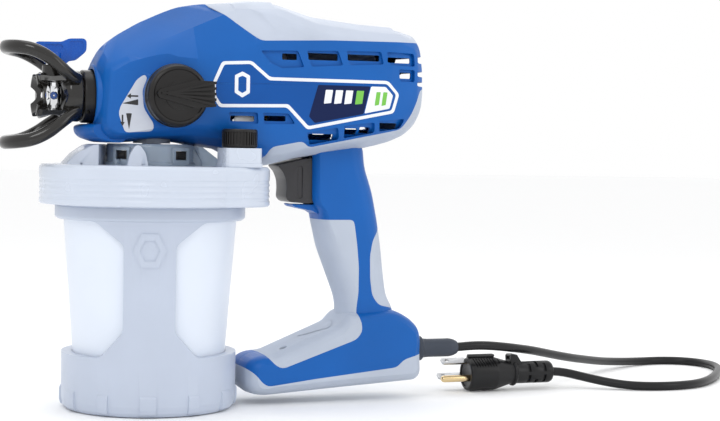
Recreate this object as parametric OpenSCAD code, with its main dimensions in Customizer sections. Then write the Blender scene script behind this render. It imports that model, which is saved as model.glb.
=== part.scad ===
// Handheld airless paint sprayer with a screw-on cup, as an assembly of separate pieces.
// +X points to the cord, -X is the spray direction, +Z is up.
// The origin is on the cup's axis, at the underside of the cup.

/* [Gun body] */
// Height of the spray axis above the floor
axis_z = 199; // [198:0.5:200]
// Half width of the housing at its middle
body_half_w = 37.5; // [36.5:0.5:39]
// Wall thickness of the housing shells
wall = 3.2; // [2.8:0.2:3.6]
// Thickness of the soft overmoulded skins
skin = 1.6; // [1.2:0.2:2]
// Half width of the handle
grip_half_w = 17.5; // [17:0.5:19]
// Half width of the foot under the handle
foot_half_w = 24; // [23:0.5:26]

/* [Cup] */
// Outer radius of the cup's base band
cup_base_r = 56; // [55:0.5:57]
// Height of the base band
cup_band_h = 33; // [30:1:36]
// Outer radius of the cup wall just above the band
cup_wall_low_r = 50.6; // [50:0.2:51.4]
// Outer radius of the cup wall just under its collar
cup_wall_top_r = 57.2; // [56.8:0.2:57.6]
// Outer radius of the cup's collar
cup_collar_r = 61; // [60:0.5:62]
// Outer radius of the threaded cup cover
cover_r = 71.2; // [70.6:0.2:72]
// Underside of the cup cover
cover_z = 131; // [130.6:0.2:131.4]
// Top plate height of the cup cover
cover_top_z = 156; // [155.8:0.1:156.2]

/* [Spray end] */
// Radius of the retaining nut
nut_r = 16.8; // [16:0.2:17.2]
// Distance of the tip barrel's axis in front of the cup's axis
tip_x = 64; // [63.8:0.1:64.2]
// Radius of the tip barrel
barrel_r = 4.6; // [4.4:0.1:4.8]
// Half the gap between the two arms of a guard wing
wing_half_gap = 14; // [13.8:0.1:14.2]
// Radius of the wing arms
wing_r = 3.5; // [3.2:0.1:3.6]

/* [Controls] */
// Radius of the prime and spray knob
knob_r = 20; // [19:0.5:21]
// Knob axis behind the cup's axis
knob_x = 5.5; // [5:0.5:6]
// Trigger travel
trigger_travel = 6; // [4:0.5:6]

/* [Motor and pump] */
// Outer radius of the motor can
motor_r = 24; // [23:0.5:24]
// Module of the gear teeth
gear_module = 0.7; // [0.7:0.1:0.7]
// Teeth on the motor pinion
pinion_teeth = 14; // [14:1:14]
// Teeth on the drive gear
gear_teeth = 34; // [34:1:34]
// Radius of the pump piston
piston_r = 4; // [3.5:0.1:4.2]

/* [Cord] */
// Radius of the mains cord
cord_r = 3.1; // [2.8:0.1:3.1]
// Radius of the plug's round earth pin
earth_r = 2.4; // [2.3:0.05:2.45]

/* [Hidden] */
$fn = 72;
eps = 0.01;
fit = 0.05;             // radial clearance of a shaft in its bore
gap = 0.35;             // clearance between pieces that move past each other
far = 100;              // longer than any cut that goes right through

blue = [0.08, 0.32, 0.66];
grey = [0.80, 0.83, 0.88];
clear = [0.86, 0.90, 0.96, 0.6];
black = [0.08, 0.08, 0.09];
steel = [0.72, 0.73, 0.75];
brass = [0.80, 0.66, 0.36];

// ---- outlines of the gun, seen from its left side: [x, z, share of the edge rounding] ----
body_outline = [
    [-40, 176, 0.4], [-40, 219, 0.55], [-34, 231, 0.9], [-25, 238, 1], [-10, 247, 1],
    [5, 254, 1], [15, 258, 1], [28, 260.5, 1], [45, 262, 1], [60, 264, 1], [77, 264.5, 1],
    [102, 256, 1], [136, 252.5, 1], [161, 251.5, 1], [177, 245.5, 1], [180.5, 238.5, 1],
    [183.5, 224, 1], [184.5, 206, 1], [183, 194, 1], [178, 184, 1], [170, 177, 1],
    [158, 172, 1], [140, 168, 1], [94, 161, 1], [76, 156.5, 1], [62, 156.5, 1],
    [42, 167, 0.9], [17, 170, 0.8], [-34, 170, 0.5]
];
body_spine = [[8, 208], [150, 210]];
// Each layer is [share of the half width, rounding inset]
body_layers = [[0, 0], [0.4, 1.5], [0.78, 7], [0.95, 13], [1, 17]];
body_taper = [[-40, 0.76], [20, 1], [150, 1], [186, 0.92]];

grip_outline = [
    [143, 172, 1], [144, 156, 1], [150, 140, 1], [154, 121, 1], [157, 104, 1], [159, 87, 1],
    [161, 70, 1], [166, 61, 1], [168, 40, 1], [124, 40, 1], [128, 58, 1], [127, 68, 1],
    [120, 86, 1], [113, 104, 0.8], [110, 120, 0.4], [108.5, 132, 0.4], [108, 172, 0.4]
];
grip_spine = [[40, 146], [85, 141], [125, 132], [172, 126]];    // [z, x]
grip_layers = [[0, 0], [0.45, 1.2], [0.75, 4], [0.92, 8], [1, 12]];

foot_outline = [
    [60, 14, 1], [60, 26, 1], [63, 30.5, 1], [69, 33, 1], [79, 34, 1], [101, 43, 1],
    [124, 52.5, 1], [131, 60, 1], [160, 62, 1], [168, 60, 1], [176, 55.5, 1], [182, 50, 1],
    [185, 43, 1], [186, 30, 1], [186, 17, 1], [182, 12.5, 1], [118, 8.5, 1], [74, 5.5, 1],
    [66, 6.5, 1], [62, 9.5, 1]
];
foot_spine = [[80, 20], [168, 32]];
foot_layers = [[0, 0], [0.65, 0.8], [0.88, 3], [1, 7]];

// ---- where the colours change on the gun's surface ----
top_region = [[33, 280], [33, 258.5], [61, 236.5], [110, 238.5], [174, 239.5], [200, 240], [200, 280]];
trim_region = [
    [60, 150], [62, 157.5], [67.5, 162], [70, 169], [91, 173], [97, 169], [161, 182],
    [167, 192], [175, 209], [200, 209], [200, 150]
];
front_region = [
    [90, 121.5], [134, 121.5], [136.5, 105], [138, 90], [138, 72], [137, 60], [139, 48],
    [135, 42.5], [84, 24.5], [79, 26.5], [71, 36], [71, 60]
];
rear_region = [
    [155.5, 119], [148, 108], [146.5, 98], [147.5, 82], [149.5, 71], [155, 64.5], [166, 61.5],
    [175, 61], [175, 119]
];
sole_region = [
    [40, 27], [58, 26.5], [65, 21.5], [70, 15.5], [74, 13], [106, 17], [164, 23], [169, 28],
    [179, 31], [200, 32], [200, -5], [40, -5]
];
decal_region = [
    [35.5, 222.5], [55, 223.5], [67.5, 213.5], [148.5, 213.5], [157, 205], [153, 192.5],
    [93, 180.5], [79, 194.5], [34, 193.5], [29.5, 200.5], [29.5, 209]
];
label_region = [
    [-20.5, 213], [-18.5, 211], [-21.5, 203], [-20.5, 192], [-14.5, 182], [-15, 177.5],
    [-32, 176.5], [-36, 188], [-35, 192.5], [-25, 209.5]
];
// Side openings for cooling air: [front x, rear x, low z, high z]
vents = [
    [76, 86, 225, 229], [93, 114, 225.5, 230], [120, 143, 226, 230], [148, 167, 225.5, 229],
    [158, 169, 215.5, 219.5], [42, 58, 185, 188.5], [64.5, 79, 185.5, 189],
    [95, 113, 174, 178], [120, 129, 178, 182], [130.5, 138, 179, 183], [144, 158, 182, 186]
];

// ---- derived sizes ----
gear_r = gear_module * gear_teeth / 2;
pinion_r = gear_module * pinion_teeth / 2;
motor_z = axis_z + gear_r + pinion_r;
mid_z = (cover_z + cover_top_z) / 2;
// A wing arm's centre line: [distance in front of the cup's axis, height off the spray axis]
wing_path = [[54, 10.5], [72, 24.5], [80.5, 28.5]];
cup_wall = 1.5;
liner_low_r = cup_wall_low_r - cup_wall - 0.3;
liner_top_r = cup_wall_top_r - cup_wall - 0.3;
tab_angles = [-142, -66, 38, 114];
dome_angle = 159;       // the low dome of the cover faces the front and the far side
vent_valve_at = [44.5, -48.5];
trigger_rear_x = 115;
switch_x = 125.5;
cord_exit = [218, 0, 32.5];
plug_at = [230, 9.5, 12];
plug_roll = -62;        // the plug lies on its side
earth_low = 4.8;        // distance of the earth pin from the plug's own axis
piston_z = axis_z - 9;
rocker_at = [149, 34.5, 200];
// The cord's route, from the strain relief round its loop to the plug
cord_route = [
    [218, 0, 32.5], [231, 0.5, 33.2], [243, 2, 32.7], [254, 4.5, 31.4], [264, 8, 30],
    [274, 12.5, 28.3], [285, 18, 26.4], [296, 24.5, 24], [308, 32, 21.3], [320, 39.5, 18.7],
    [333, 48, 16], [344, 56, 13.9], [366, 72.5, 9.9], [377, 80.5, 8.1],
    [387, 87.5, 6.7], [398, 94, 5.5], [408, 99.5, 4.5], [418, 104, 3.8], [430, 108, 3.2],
    [441, 109.5, 3.1], [452, 108, 3.1], [462, 103, 3.1], [469, 94.5, 3.1], [472.5, 84, 3.1],
    [472, 71, 3.1], [467, 57, 3.1], [459, 44, 3.1], [448, 29, 3.1], [436, 14, 3.1],
    [423, 0, 3.1], [409, -12, 3.1], [394, -19.5, 3.1], [377, -22.5, 3.1], [362, -20.5, 3.1],
    [349, -15.5, 3.3], [338, -9, 4.4], [327, -2, 6.4], [316, 4.5, 9], [306, 8.5, 11.3],
    [296, 9.5, 12]
];
// Head seats of the housing screws: [x, z, distance from the middle plane]
screw_places = [
    [-2, 236, 25], [54, 228, 31], [169, 235.5, 24], [30, 177, 22], [136, 176, 20],
    [143, 128, 10.5], [146, 66, 12], [92, 29, 18], [174, 46, 17]
];

// ---- shared shapes ----
function clamp(v, a, b) = min(max(v, a), b);
function unit(v) = v / norm(v);
// Nearest point to p on the segment a to b
function nearest(p, a, b) = a + (b - a) * clamp(((p - a) * (b - a)) / ((b - a) * (b - a)), 0, 1);
function inset_point(p, spine, d) =
    let (q = [p[0], p[1]], c = nearest(q, spine[0], spine[1])) q + unit(c - q) * d * p[2];
// A handle point moves level with the floor, towards the handle's centre line
function inset_level(p, spine, d) =
    let (dx = lookup(p[1], spine) - p[0]) [p[0] + sign(dx) * min(d * p[2], abs(dx) - 1), p[1]];

// A closed solid through rings of points that all have the same count
module skin_solid(rings) {
    n = len(rings[0]);
    m = len(rings);
    sides = [for (k = [0:m - 2]) for (i = [0:n - 1]) let (j = (i + 1) % n, a = k * n, b = a + n)
        each [[a + i, b + j, a + j], [a + i, b + i, b + j]]];
    ends = [[for (i = [0:n - 1]) i], [for (i = [n - 1:-1:0]) (m - 1) * n + i]];
    polyhedron([for (r = rings) each r], concat(sides, ends));
}
// The gun's three masses; t moves their whole surface inwards
module body_form(t = 0) {
    half = [for (k = [1:len(body_layers) - 1]) body_layers[k]];
    both = concat([for (k = [len(half) - 1:-1:0]) [-half[k][0], half[k][1]]], [body_layers[0]], half);
    skin_solid([for (l = both) [for (p = body_outline)
        let (q = inset_point(p, body_spine, l[1] + t / max(p[2], 0.5)))
        [q[0], l[0] * (body_half_w - t) * lookup(p[0], body_taper), q[1]]]]);
}
module grip_form(t = 0) {
    half = [for (k = [1:len(grip_layers) - 1]) grip_layers[k]];
    both = concat([for (k = [len(half) - 1:-1:0]) [-half[k][0], half[k][1]]], [grip_layers[0]], half);
    skin_solid([for (l = both) [for (p = grip_outline)
        let (q = inset_level(p, grip_spine, l[1] + t / p[2])) [q[0], l[0] * (grip_half_w - t), q[1]]]]);
}
module foot_form(t = 0) {
    half = [for (k = [1:len(foot_layers) - 1]) foot_layers[k]];
    both = concat([for (k = [len(half) - 1:-1:0]) [-half[k][0], half[k][1]]], [foot_layers[0]], half);
    skin_solid([for (l = both) [for (p = foot_outline)
        let (q = inset_point(p, foot_spine, l[1] + t)) [q[0], l[0] * (foot_half_w - t), q[1]]]]);
}
module gun_form(t = 0) {
    body_form(t);
    grip_form(t);
    foot_form(t);
}
// A side-view outline as a prism through the whole width
module through(points, low = -far, high = far)
    translate([0, high, 0]) rotate([90, 0, 0]) linear_extrude(high - low) polygon(points);
module along_x(x0, x1, r, y = 0, z = axis_z)
    translate([x0, y, z]) rotate([0, 90, 0]) cylinder(h = x1 - x0, r = r);
module along_y(y0, y1, r, x, z)
    translate([x, y1, z]) rotate([90, 0, 0]) cylinder(h = y1 - y0, r = r);
module block(low, high) translate(low) cube(high - low);
module ring_z(z0, z1, r_out, r_in) translate([0, 0, z0]) difference() {
    cylinder(h = z1 - z0, r = r_out);
    translate([0, 0, -eps]) cylinder(h = z1 - z0 + 2 * eps, r = r_in);
}
module ring_x(x0, x1, r_out, r_in, z = axis_z) difference() {
    along_x(x0, x1, r_out, 0, z);
    along_x(x0 - eps, x1 + eps, r_in, 0, z);
}

// ---- the housing ----
// A skin fills its recess; grown, it is the cutter for that recess
module trim_skin(grow = 0) difference() {
    intersection() {
        difference() { body_form(-grow); body_form(skin + grow / 40); }
        through(trim_region);
    }
    grip_form(-grow / 20);
}
module grip_skin(region, grow = 0) intersection() {
    difference() { gun_form(-grow); gun_form(skin + grow / 40); }
    through(region);
}
module housing_shell() difference() {
    gun_form(0);
    gun_form(wall);
    through(top_region);
    trim_skin(1);
    grip_skin(front_region, 1);
    grip_skin(rear_region, 1);
    grip_skin(sole_region, 1);
    // Nose opening round the retaining nut
    along_x(-60, -20, nut_r + 0.9);
    // Opening under the nose for the inlet
    translate([0, 0, 160]) cylinder(h = 14, r = 21);
    // Trigger opening in the front of the handle
    block([95, -11.6, 131.3], [124, 11.6, 161.5]);
    // Cooling slots in both sides
    for (v = vents) block([v[0], -far, v[2]], [v[1], far, v[3]]);
    // Rear slots behind the fan
    for (z = [213.5, 222, 230.5]) block([176, -27, z], [200, 27, z + 4]);
    // Cord exit
    along_x(178, 200, 6.5, 0, cord_exit[2]);
}
// Makes one mesh of a freely shaped shell, at its own size
module one_mesh() resize([0, 0, 0]) union() children();
module screw_holes() for (s = screw_places) along_y(s[2], far, 3.5, s[0], s[1], $fn = 24);
module left_housing() color(blue) one_mesh() difference() {
    union() {
        intersection() { housing_shell(); block([-far, -far, -far], [300, 0, 300]); }
        // Boss that carries the knob
        along_y(-body_half_w, -31, knob_r - 0.8, knob_x, 200);
    }
    along_y(-60, -20, 4 + gap, knob_x, 200);
}
module right_housing() color(blue) one_mesh() difference() {
    union() {
        intersection() { housing_shell(); block([-far, 0, -far], [300, far, 300]); }
        // Screw bosses
        intersection() {
            for (s = screw_places) along_y(s[2] - 4, far, 4.6, s[0], s[1], $fn = 24);
            gun_form(skin + 0.4);
        }
    }
    block([rocker_at[0] - 10, 25, rocker_at[2] - 6.5], [rocker_at[0] + 10, 60, rocker_at[2] + 6.5]);
    screw_holes();
    for (s = screw_places) along_y(0, far, 1.6, s[0], s[1], $fn = 24);
}
module top_cover() color(grey) one_mesh() intersection() {
    difference() { body_form(0); body_form(wall); }
    through(top_region);
}
module lower_trim() color(grey) one_mesh() difference() {
    trim_skin();
    screw_holes();
}
module front_grip() color(grey) one_mesh() difference() {
    grip_skin(front_region);
    screw_holes();
}
module rear_grip() color(grey) one_mesh() grip_skin(rear_region);
module sole_pad() color(grey) one_mesh() difference() {
    grip_skin(sole_region);
    along_x(170, 200, 6.7, 0, 32.5);
}
module side_decal() color([0.05, 0.2, 0.5]) one_mesh() intersection() {
    difference() { body_form(-0.35); body_form(0); }
    through(decal_region, -far, 0);
}
module valve_label() color(grey) one_mesh() intersection() {
    difference() { body_form(-0.35); body_form(0); }
    through(label_region, -far, 0);
}
// The screws sit in counterbores in the right-hand shell
module housing_screws() color(steel) for (s = screw_places) {
    depth = s[2] + 4;
    difference() {
        along_y(s[2], depth, 3.2, s[0], s[1]);
        translate([s[0] - 2.4, depth - 1, s[1] - 0.5]) cube([4.8, 2, 1]);
        translate([s[0] - 0.5, depth - 1, s[1] - 2.4]) cube([1, 2, 4.8]);
    }
    along_y(s[2] - 9, s[2], 1.5, s[0], s[1]);
}

// ---- pump and inlet ----
module pump_block() color(steel) difference() {
    block([-26, -20, 178], [22, 20, 216]);
    along_x(-27, -14, 8);
    along_x(-4, 23, piston_r + fit, 0, piston_z);
    along_y(-21, -6, 4 + fit, knob_x, 200);
    translate([0, 0, 177]) cylinder(h = 6, r = 6);
}
module outlet_fitting() color(steel) difference() {
    union() {
        along_x(-26, -14, 8);
        along_x(-30, -26, 13);
        along_x(-46, -30, 12);
        along_x(-54, -46, 7);
    }
    along_x(-55, -13, 2);
}
module inlet_stem() color(grey) difference() {
    union() {
        translate([0, 0, 158]) cylinder(h = 25, r = 6);
        translate([0, 0, 170]) cylinder(h = 3, r = 12);
        translate([0, 0, 161]) cylinder(h = 3, r = 8.5);
    }
    translate([0, 0, 157]) cylinder(h = 27, r = 3);
}
module cup_mount_ring() color(clear) difference() {
    union() {
        ring_z(cover_top_z, 169.6, 29, 26.4);
        for (a = [35, 90, 215, 325]) rotate(a) block([27, -2, cover_top_z], [34, 2, 166]);
        // Long gusset towards the vent valve
        translate([0, -14, 0]) rotate([90, 0, 0]) linear_extrude(2.2)
            polygon([[24, 169.6], [44, 156], [24, 156]]);
    }
    for (a = tab_angles) rotate(a) block([20, -4.4, 159.6], [40, 4.4, 165.4]);
    // The rim is cut back under the rising underside of the housing
    translate([0, 50, 0]) rotate([90, 0, 0]) linear_extrude(100)
        polygon([[-60, 169.7], [17, 169.7], [46, 165.7], [46, 175], [-60, 175]]);
}
module lock_tabs() color(black) for (a = tab_angles)
    rotate(a) block([25, -4.1, 159.8], [31, 4.1, 165.2]);
module suction_tube() color(clear) difference() {
    translate([0, 0, 30]) cylinder(h = 128, r = 5);
    translate([0, 0, 29]) cylinder(h = 130, r = 3);
}
module inlet_filter() color(black) difference() {
    union() {
        translate([0, 0, 12]) cylinder(h = 18, r = 8);
        for (z = [12, 17, 22, 27]) translate([0, 0, z]) cylinder(h = 2, r = 9.5);
    }
    translate([0, 0, 15]) cylinder(h = 16, r = 3);
}

// ---- cup cover, vent valve and cup ----
module cover_plan(grow = 0) {
    circle(r = cover_r + grow);
    translate([34, -28.5]) circle(r = 35.5 + grow);
}
module cup_cover() color(clear) difference() {
    union() {
        translate([0, 0, cover_z]) linear_extrude(cover_top_z - cover_z) cover_plan();
        // Low dome at the front of the cover
        intersection() {
            translate([0, 0, cover_top_z - eps]) cylinder(h = 13, r1 = 58, r2 = 42);
            rotate(dome_angle) block([29.4, -30, 150], [70, 30, 172]);
        }
    }
    translate([0, 0, cover_z - 1]) cylinder(h = 152 - cover_z + 1, r = 66.5);
    translate([0, 0, 150]) cylinder(h = 30, r = 9);
    // Hollow under the dome
    intersection() {
        translate([0, 0, 151]) cylinder(h = 15.5, r1 = 58, r2 = 40);
        rotate(dome_angle) block([31.4, -28, 150], [68, 28, 166.5]);
    }
}
module vent_valve_base() color(clear) translate([vent_valve_at[0], vent_valve_at[1], 0]) difference() {
    translate([0, 0, cover_top_z]) linear_extrude(12) union() {
        square([24, 14], center = true);
        square([14, 24], center = true);
        for (x = [-7, 7], y = [-7, 7]) translate([x, y]) circle(r = 5);
    }
    translate([0, 0, cover_top_z + 8]) cylinder(h = 5, r = 10.4);
}
module vent_cap() color(black) translate([vent_valve_at[0], vent_valve_at[1], 0]) difference() {
    union() {
        translate([0, 0, cover_top_z + 8 + gap]) cylinder(h = 6, r = 10);
        translate([0, 0, cover_top_z + 12 + gap]) cylinder(h = 11.6, r = 11.2);
        for (a = [0:30:359]) rotate(a) translate([11, 0, cover_top_z + 12 + gap])
            cylinder(h = 10, r = 0.7, $fn = 16);
    }
    translate([0, 0, cover_top_z + 7]) cylinder(h = 12, r = 8);
}
module cup_gasket() color(black) ring_z(149.5, 151.6, 63, 57.5);
module cup_support() color(clear) difference() {
    union() {
        rotate_extrude() polygon([
            [0, 0], [52, 0], [55, 1.5], [cup_base_r, 5], [cup_base_r, cup_band_h],
            [cup_wall_low_r, cup_band_h + 1], [cup_wall_top_r, 122], [cup_collar_r, 122],
            [cup_collar_r, 130.5], [63.5, 130.5 + gap], [63.5, 136], [65.2, 137], [65.2, 139],
            [63.5, 140], [63.5, 142.5], [65.2, 143.5], [65.2, 145.5], [63.5, 146.5],
            [63.5, 147.7], [61, 147.7], [61, 134], [59.4, 131], [cup_wall_top_r - cup_wall, 121],
            [cup_wall_low_r - cup_wall, cup_band_h], [cup_wall_low_r - cup_wall, 4], [0, 4]
        ]);
        // Ribs at the foot of the band
        for (a = [0:60:359]) rotate(a - 104) block([54, -5, 1.5], [57, 5, 14]);
    }
    // Two tall windows either side of a front and a back column
    rotate(-14) for (s = [-1, 1]) translate([0, far, 0]) rotate([90, 0, 0]) linear_extrude(2 * far)
        polygon([[s * 16, 53], [s * 16, 107], [s * 34, 121.7], [s * 70, 121.7], [s * 70, 36],
                 [s * 30, 36]]);
}
module cup_liner() color([0.95, 0.97, 1, 0.7]) rotate_extrude() polygon([
    [0, 8], [45, 8], [liner_low_r - 0.3, 12], [liner_low_r, cup_band_h], [liner_top_r, 120.8],
    [59, 131.1], [60.5, 134], [60.5, 148], [63.4, 148], [63.4, 149.1], [59.6, 149.1],
    [59.6, 134.3], [58.1, 131.4], [liner_top_r - 0.9, 121.2], [liner_low_r - 0.9, cup_band_h],
    [liner_low_r - 1.2, 12.6], [44.6, 9], [0, 9]
]);

// ---- spray end ----
module retaining_nut() color(black) difference() {
    union() {
        along_x(-47, -34, nut_r - 0.8);
        along_x(-46, -35, nut_r);
    }
    along_x(-48, -33, 12 + fit);
    along_x(-34.6, -20, 13.5);
}
// A straight round rod from point a to point b
module rod(a, b, r) {
    d = b - a;
    translate(a) rotate([0, acos(d[2] / norm(d)), atan2(d[1], d[0])]) cylinder(h = norm(d), r = r, $fn = 36);
}
// One wing: two arms joined by a half ring, flaring away from the spray axis
module wing() {
    for (s = [-1, 1]) {
        pts = [for (p = wing_path) [-p[0], s * wing_half_gap, p[1]]];
        rod(pts[0], pts[1], wing_r);
        rod(pts[1], pts[2], wing_r - 0.1);
        translate(pts[1]) sphere(r = wing_r + 0.15, $fn = 36);
        translate(pts[2]) sphere(r = wing_r + 0.1, $fn = 36);
    }
    translate([-wing_path[2][0], 0, wing_path[2][1]]) rotate([0, 8, 0]) rotate([0, 0, 90])
        rotate_extrude(angle = 180) translate([wing_half_gap, 0]) circle(r = wing_r - 0.2, $fn = 36);
}
module tip_guard() color(black) difference() {
    union() {
        along_x(-56, -47 - gap, 16.3);
        along_x(-74, -56, 12.5);
        // Four ears round the spray opening
        for (a = [45:90:359]) translate([0, 0, axis_z]) rotate([a, 0, 0]) block([-77, -3, 8], [-60, 3, 15.5]);
        for (side = [0, 180]) translate([0, 0, axis_z]) rotate([side, 0, 0]) wing();
    }
    along_x(-54.1, -40, 7 + fit);
    along_x(-60, -54, 5.2);
    translate([-tip_x, 0, axis_z - 11]) cylinder(h = 40, r = barrel_r + fit);
    // Spray opening, wide at its mouth
    translate([-82, 0, axis_z]) rotate([0, 90, 0]) cylinder(h = 19, r1 = 13.3, r2 = 3);
    // Room for the clip of the nut
    along_x(-46.8, -40, 17.5);
}
module tip_seal() color([0.2, 0.2, 0.22]) ring_x(-59.2, -54.15, 5.15, 1.5);
module tip_barrel() color(steel) difference() {
    translate([-tip_x, 0, axis_z - 10.8]) cylinder(h = 30.8, r = barrel_r);
    along_x(-80, -40, 0.9);
    along_x(-80, -tip_x - 2.5, 2.2);
}
module tip_flag() color([0.1, 0.3, 0.8]) difference() {
    union() {
        translate([-tip_x, 0, axis_z + 20]) cylinder(h = 7, r = 5.2);
        translate([-tip_x, 0, 0]) through([
            [-11, 230], [-7, 226.5], [-5.5, axis_z + 20], [8, axis_z + 20.2], [9.5, 221.5],
            [15.5, 228.5], [19.5, 231.9], [20.8, 233.6], [19, 235.6], [9.5, 235.2], [5, 233],
            [-11, 232.6]], -2.4, 2.4);
    }
    // Waist of the flag
    translate([-tip_x, 0, 0]) for (s = [-1, 1]) translate([6, s * 2.6, 224]) block([0, -0.8, 0], [9, 0.8, 9]);
}

// ---- controls ----
module selector_knob() color(black) difference() {
    union() {
        along_y(-46, -body_half_w - gap, knob_r, knob_x, 200);
        along_y(-49, -46, knob_r - 2, knob_x, 200);
        // Wedge grip that points at the chosen setting
        through([for (p = [[-15, -1], [-15, 3], [10, 8.7], [22, 7.7], [22, -5.3], [10, -6.3]])
            [knob_x + p[0], 200 + p[1]]], -55, -44);
    }
    along_y(-44, -30, 4, knob_x, 200);
}
module valve_stem() color(steel) union() {
    along_y(-44, -6.5, 4, knob_x, 200);
}
module trigger() color([0.2, 0.2, 0.22]) union() {
    through([[82, 157.2], [99, 160.4], [trigger_rear_x, 158], [trigger_rear_x, 134],
             [104, 132], [91, 132.8], [88.2, 135.5], [88.5, 146], [86, 152]], -11, 11);
}
module switch_plunger() color(grey) union() {
    along_x(trigger_rear_x, switch_x + 3, 2.4, 0, 150);
}
// Coils as a stack of rings joined by a side rod, along X from x0 to x1
module spring_x(x0, x1, r, wire, coils, z) {
    pitch = (x1 - x0 - 2 * wire) / coils;
    for (i = [0:coils]) translate([x0 + wire + i * pitch, 0, z]) rotate([0, 90, 0])
        rotate_extrude($fn = 32) translate([r, 0]) circle(r = wire, $fn = 16);
    translate([x0 + wire, 0, z + r]) rotate([0, 90, 0]) cylinder(h = coils * pitch, r = wire * 0.7, $fn = 16);
}
module trigger_spring() color(steel)
    spring_x(trigger_rear_x + 0.3, switch_x - 0.3, 3.6, 0.6, 5, 141);
module trigger_switch() color(black) difference() {
    block([switch_x, -7, 136], [138, 7, 157]);
    along_x(switch_x - 1, switch_x + 11, 2.4 + fit, 0, 150);
}
module speed_switch() color(black) difference() {
    block([rocker_at[0] - 9.6, 24, rocker_at[2] - 6.2], [rocker_at[0] + 9.6, 37.2, rocker_at[2] + 6.2]);
    block([rocker_at[0] - 8.4, 29, rocker_at[2] - 5], [rocker_at[0] + 8.4, 38, rocker_at[2] + 5]);
}
module speed_rocker() color([0.25, 0.25, 0.27]) translate(rocker_at) rotate(8) {
    translate([0, 0, -4.6]) linear_extrude(9.2)
        polygon([[-7.6, -1], [-7.6, 4.6], [0, 3.2], [7.6, 4.6], [7.6, -1], [0, -3]]);
    // Pivot pin
    translate([0, 0, -4.95]) cylinder(h = 9.9, r = 1.4);
}
module control_board() color([0.1, 0.4, 0.2]) {
    block([100, -14, 24], [160, 14, 25.6]);
    translate([110, 0, 25.6]) cylinder(h = 12, r = 5);
    block([124, -8, 25.6], [134, 8, 35]);
    block([142, -6, 25.6], [152, 6, 33]);
}

// ---- motor and drive ----
module motor_can() color(steel) ring_x(88, 146, motor_r, motor_r - 2, motor_z);
module motor_magnets() color([0.3, 0.3, 0.32]) difference() {
    ring_x(98, 132, motor_r - 2, motor_r - 5, motor_z);
    block([97, -30, motor_z - 6], [133, 30, motor_z + 6]);
}
module motor_front_plate() color(steel) ring_x(84, 88, motor_r, 7, motor_z);
module motor_end_plate() color(black) ring_x(146, 150, motor_r, 7, motor_z);
module bearing(x) ring_x(x, x + 4, 7, 3 + fit, motor_z);
module front_bearing() color(steel) bearing(84);
module rear_bearing() color(steel) bearing(146);
module motor_shaft() color(steel) union() { along_x(68.5, 167, 3, 0, motor_z); }
module armature() color([0.7, 0.4, 0.2]) difference() {
    union() {
        ring_x(98, 132, 17.5, 3, motor_z);
        ring_x(134, 142, 9, 3, motor_z);
    }
    for (a = [0:45:359]) translate([0, 0, motor_z]) rotate([a, 0, 0]) block([97, -1.2, 12], [133, 1.2, 19]);
}
module cooling_fan() color(black) {
    ring_x(154, 164, 6, 3, motor_z);
    ring_x(154, 155.5, 22, 5.9, motor_z);
    for (a = [0:40:359]) translate([0, 0, motor_z]) rotate([a, 0, 0]) block([155, -0.8, 5.8], [164, 0.8, 22]);
}
// Straight-flanked teeth, a little thin so that a pair runs with play
function tooth(r, m, n, k, turn) = let (p = 360 / n, a = turn + k * p) [
    for (q = [[-0.30, -1.15], [-0.205, 0], [-0.11, 0.85], [0.11, 0.85], [0.205, 0], [0.30, -1.15]])
        (r + q[1] * m) * [cos(a + q[0] * p), sin(a + q[0] * p)]];
module gear(x0, x1, r, m, n, turn, z, bore) difference() {
    translate([x0, 0, z]) rotate([90, 0, 90]) linear_extrude(x1 - x0)
        polygon([for (k = [0:n - 1]) each tooth(r, m, n, k, turn)]);
    along_x(x0 - 1, x1 + 1, bore, 0, z);
}
module motor_pinion() color(steel) gear(70, 78, pinion_r, gear_module, pinion_teeth, -90, motor_z, 3);
module drive_gear() color(brass)
    gear(71, 77, gear_r, gear_module, gear_teeth, 90 + 180 / gear_teeth, axis_z, 3);
module gear_plate() color(steel) difference() {
    block([62, -24, 184], [66, 24, 236]);
    along_x(61, 67, 3 + fit);
    along_x(61, 67, 5, 0, motor_z);
}
module wobble_plate() color(steel) {
    along_x(44, 79, 3);
    translate([50, 0, axis_z]) rotate([0, -12, 0]) translate([-1.5, 0, 0]) rotate([0, 90, 0])
        cylinder(h = 3, r = 13);
}
module piston() color(steel) {
    along_x(-2, 30, piston_r, 0, piston_z);
    along_x(30 - eps, 43, 2.5, 0, piston_z);
    along_x(43 - eps, 45.6, 5, 0, piston_z);
}
module piston_spring() color(steel) spring_x(22.3, 42.6, 5.6, 0.6, 8, piston_z);

// ---- cord and plug ----
module cord_clamp() color(black) difference() {
    block([168, -9, 22], [176, 9, 40]);
    along_x(167, 177, 4, 0, cord_exit[2]);
}
module strain_relief() color([0.25, 0.27, 0.3]) difference() {
    union() {
        along_x(178, 192, 6.4, 0, cord_exit[2]);
        along_x(186.2, 191, 8.6, 0, cord_exit[2]);
        translate([191, 0, cord_exit[2]]) rotate([0, 90, 0]) cylinder(h = 23, r1 = 6.4, r2 = 6);
        translate([214 - eps, 0, cord_exit[2]]) rotate([0, 90, 0]) cylinder(h = 4, r1 = 6, r2 = 4.4);
    }
    along_x(177, 186, cord_r, 0, cord_exit[2]);
}
function direction(route, i) = unit(route[min(i + 1, len(route) - 1)] - route[max(i - 1, 0)]);
module tube(route, r, sides) skin_solid([for (i = [0:len(route) - 1])
    let (t = direction(route, i), u = unit(cross([0, 0, 1], t)), v = cross(t, u))
    [for (k = [0:sides - 1]) let (a = 360 * k / sides) route[i] + r * (u * cos(a) + v * sin(a))]]);
module power_cord() color(black) tube(cord_route, cord_r, 12);
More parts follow.
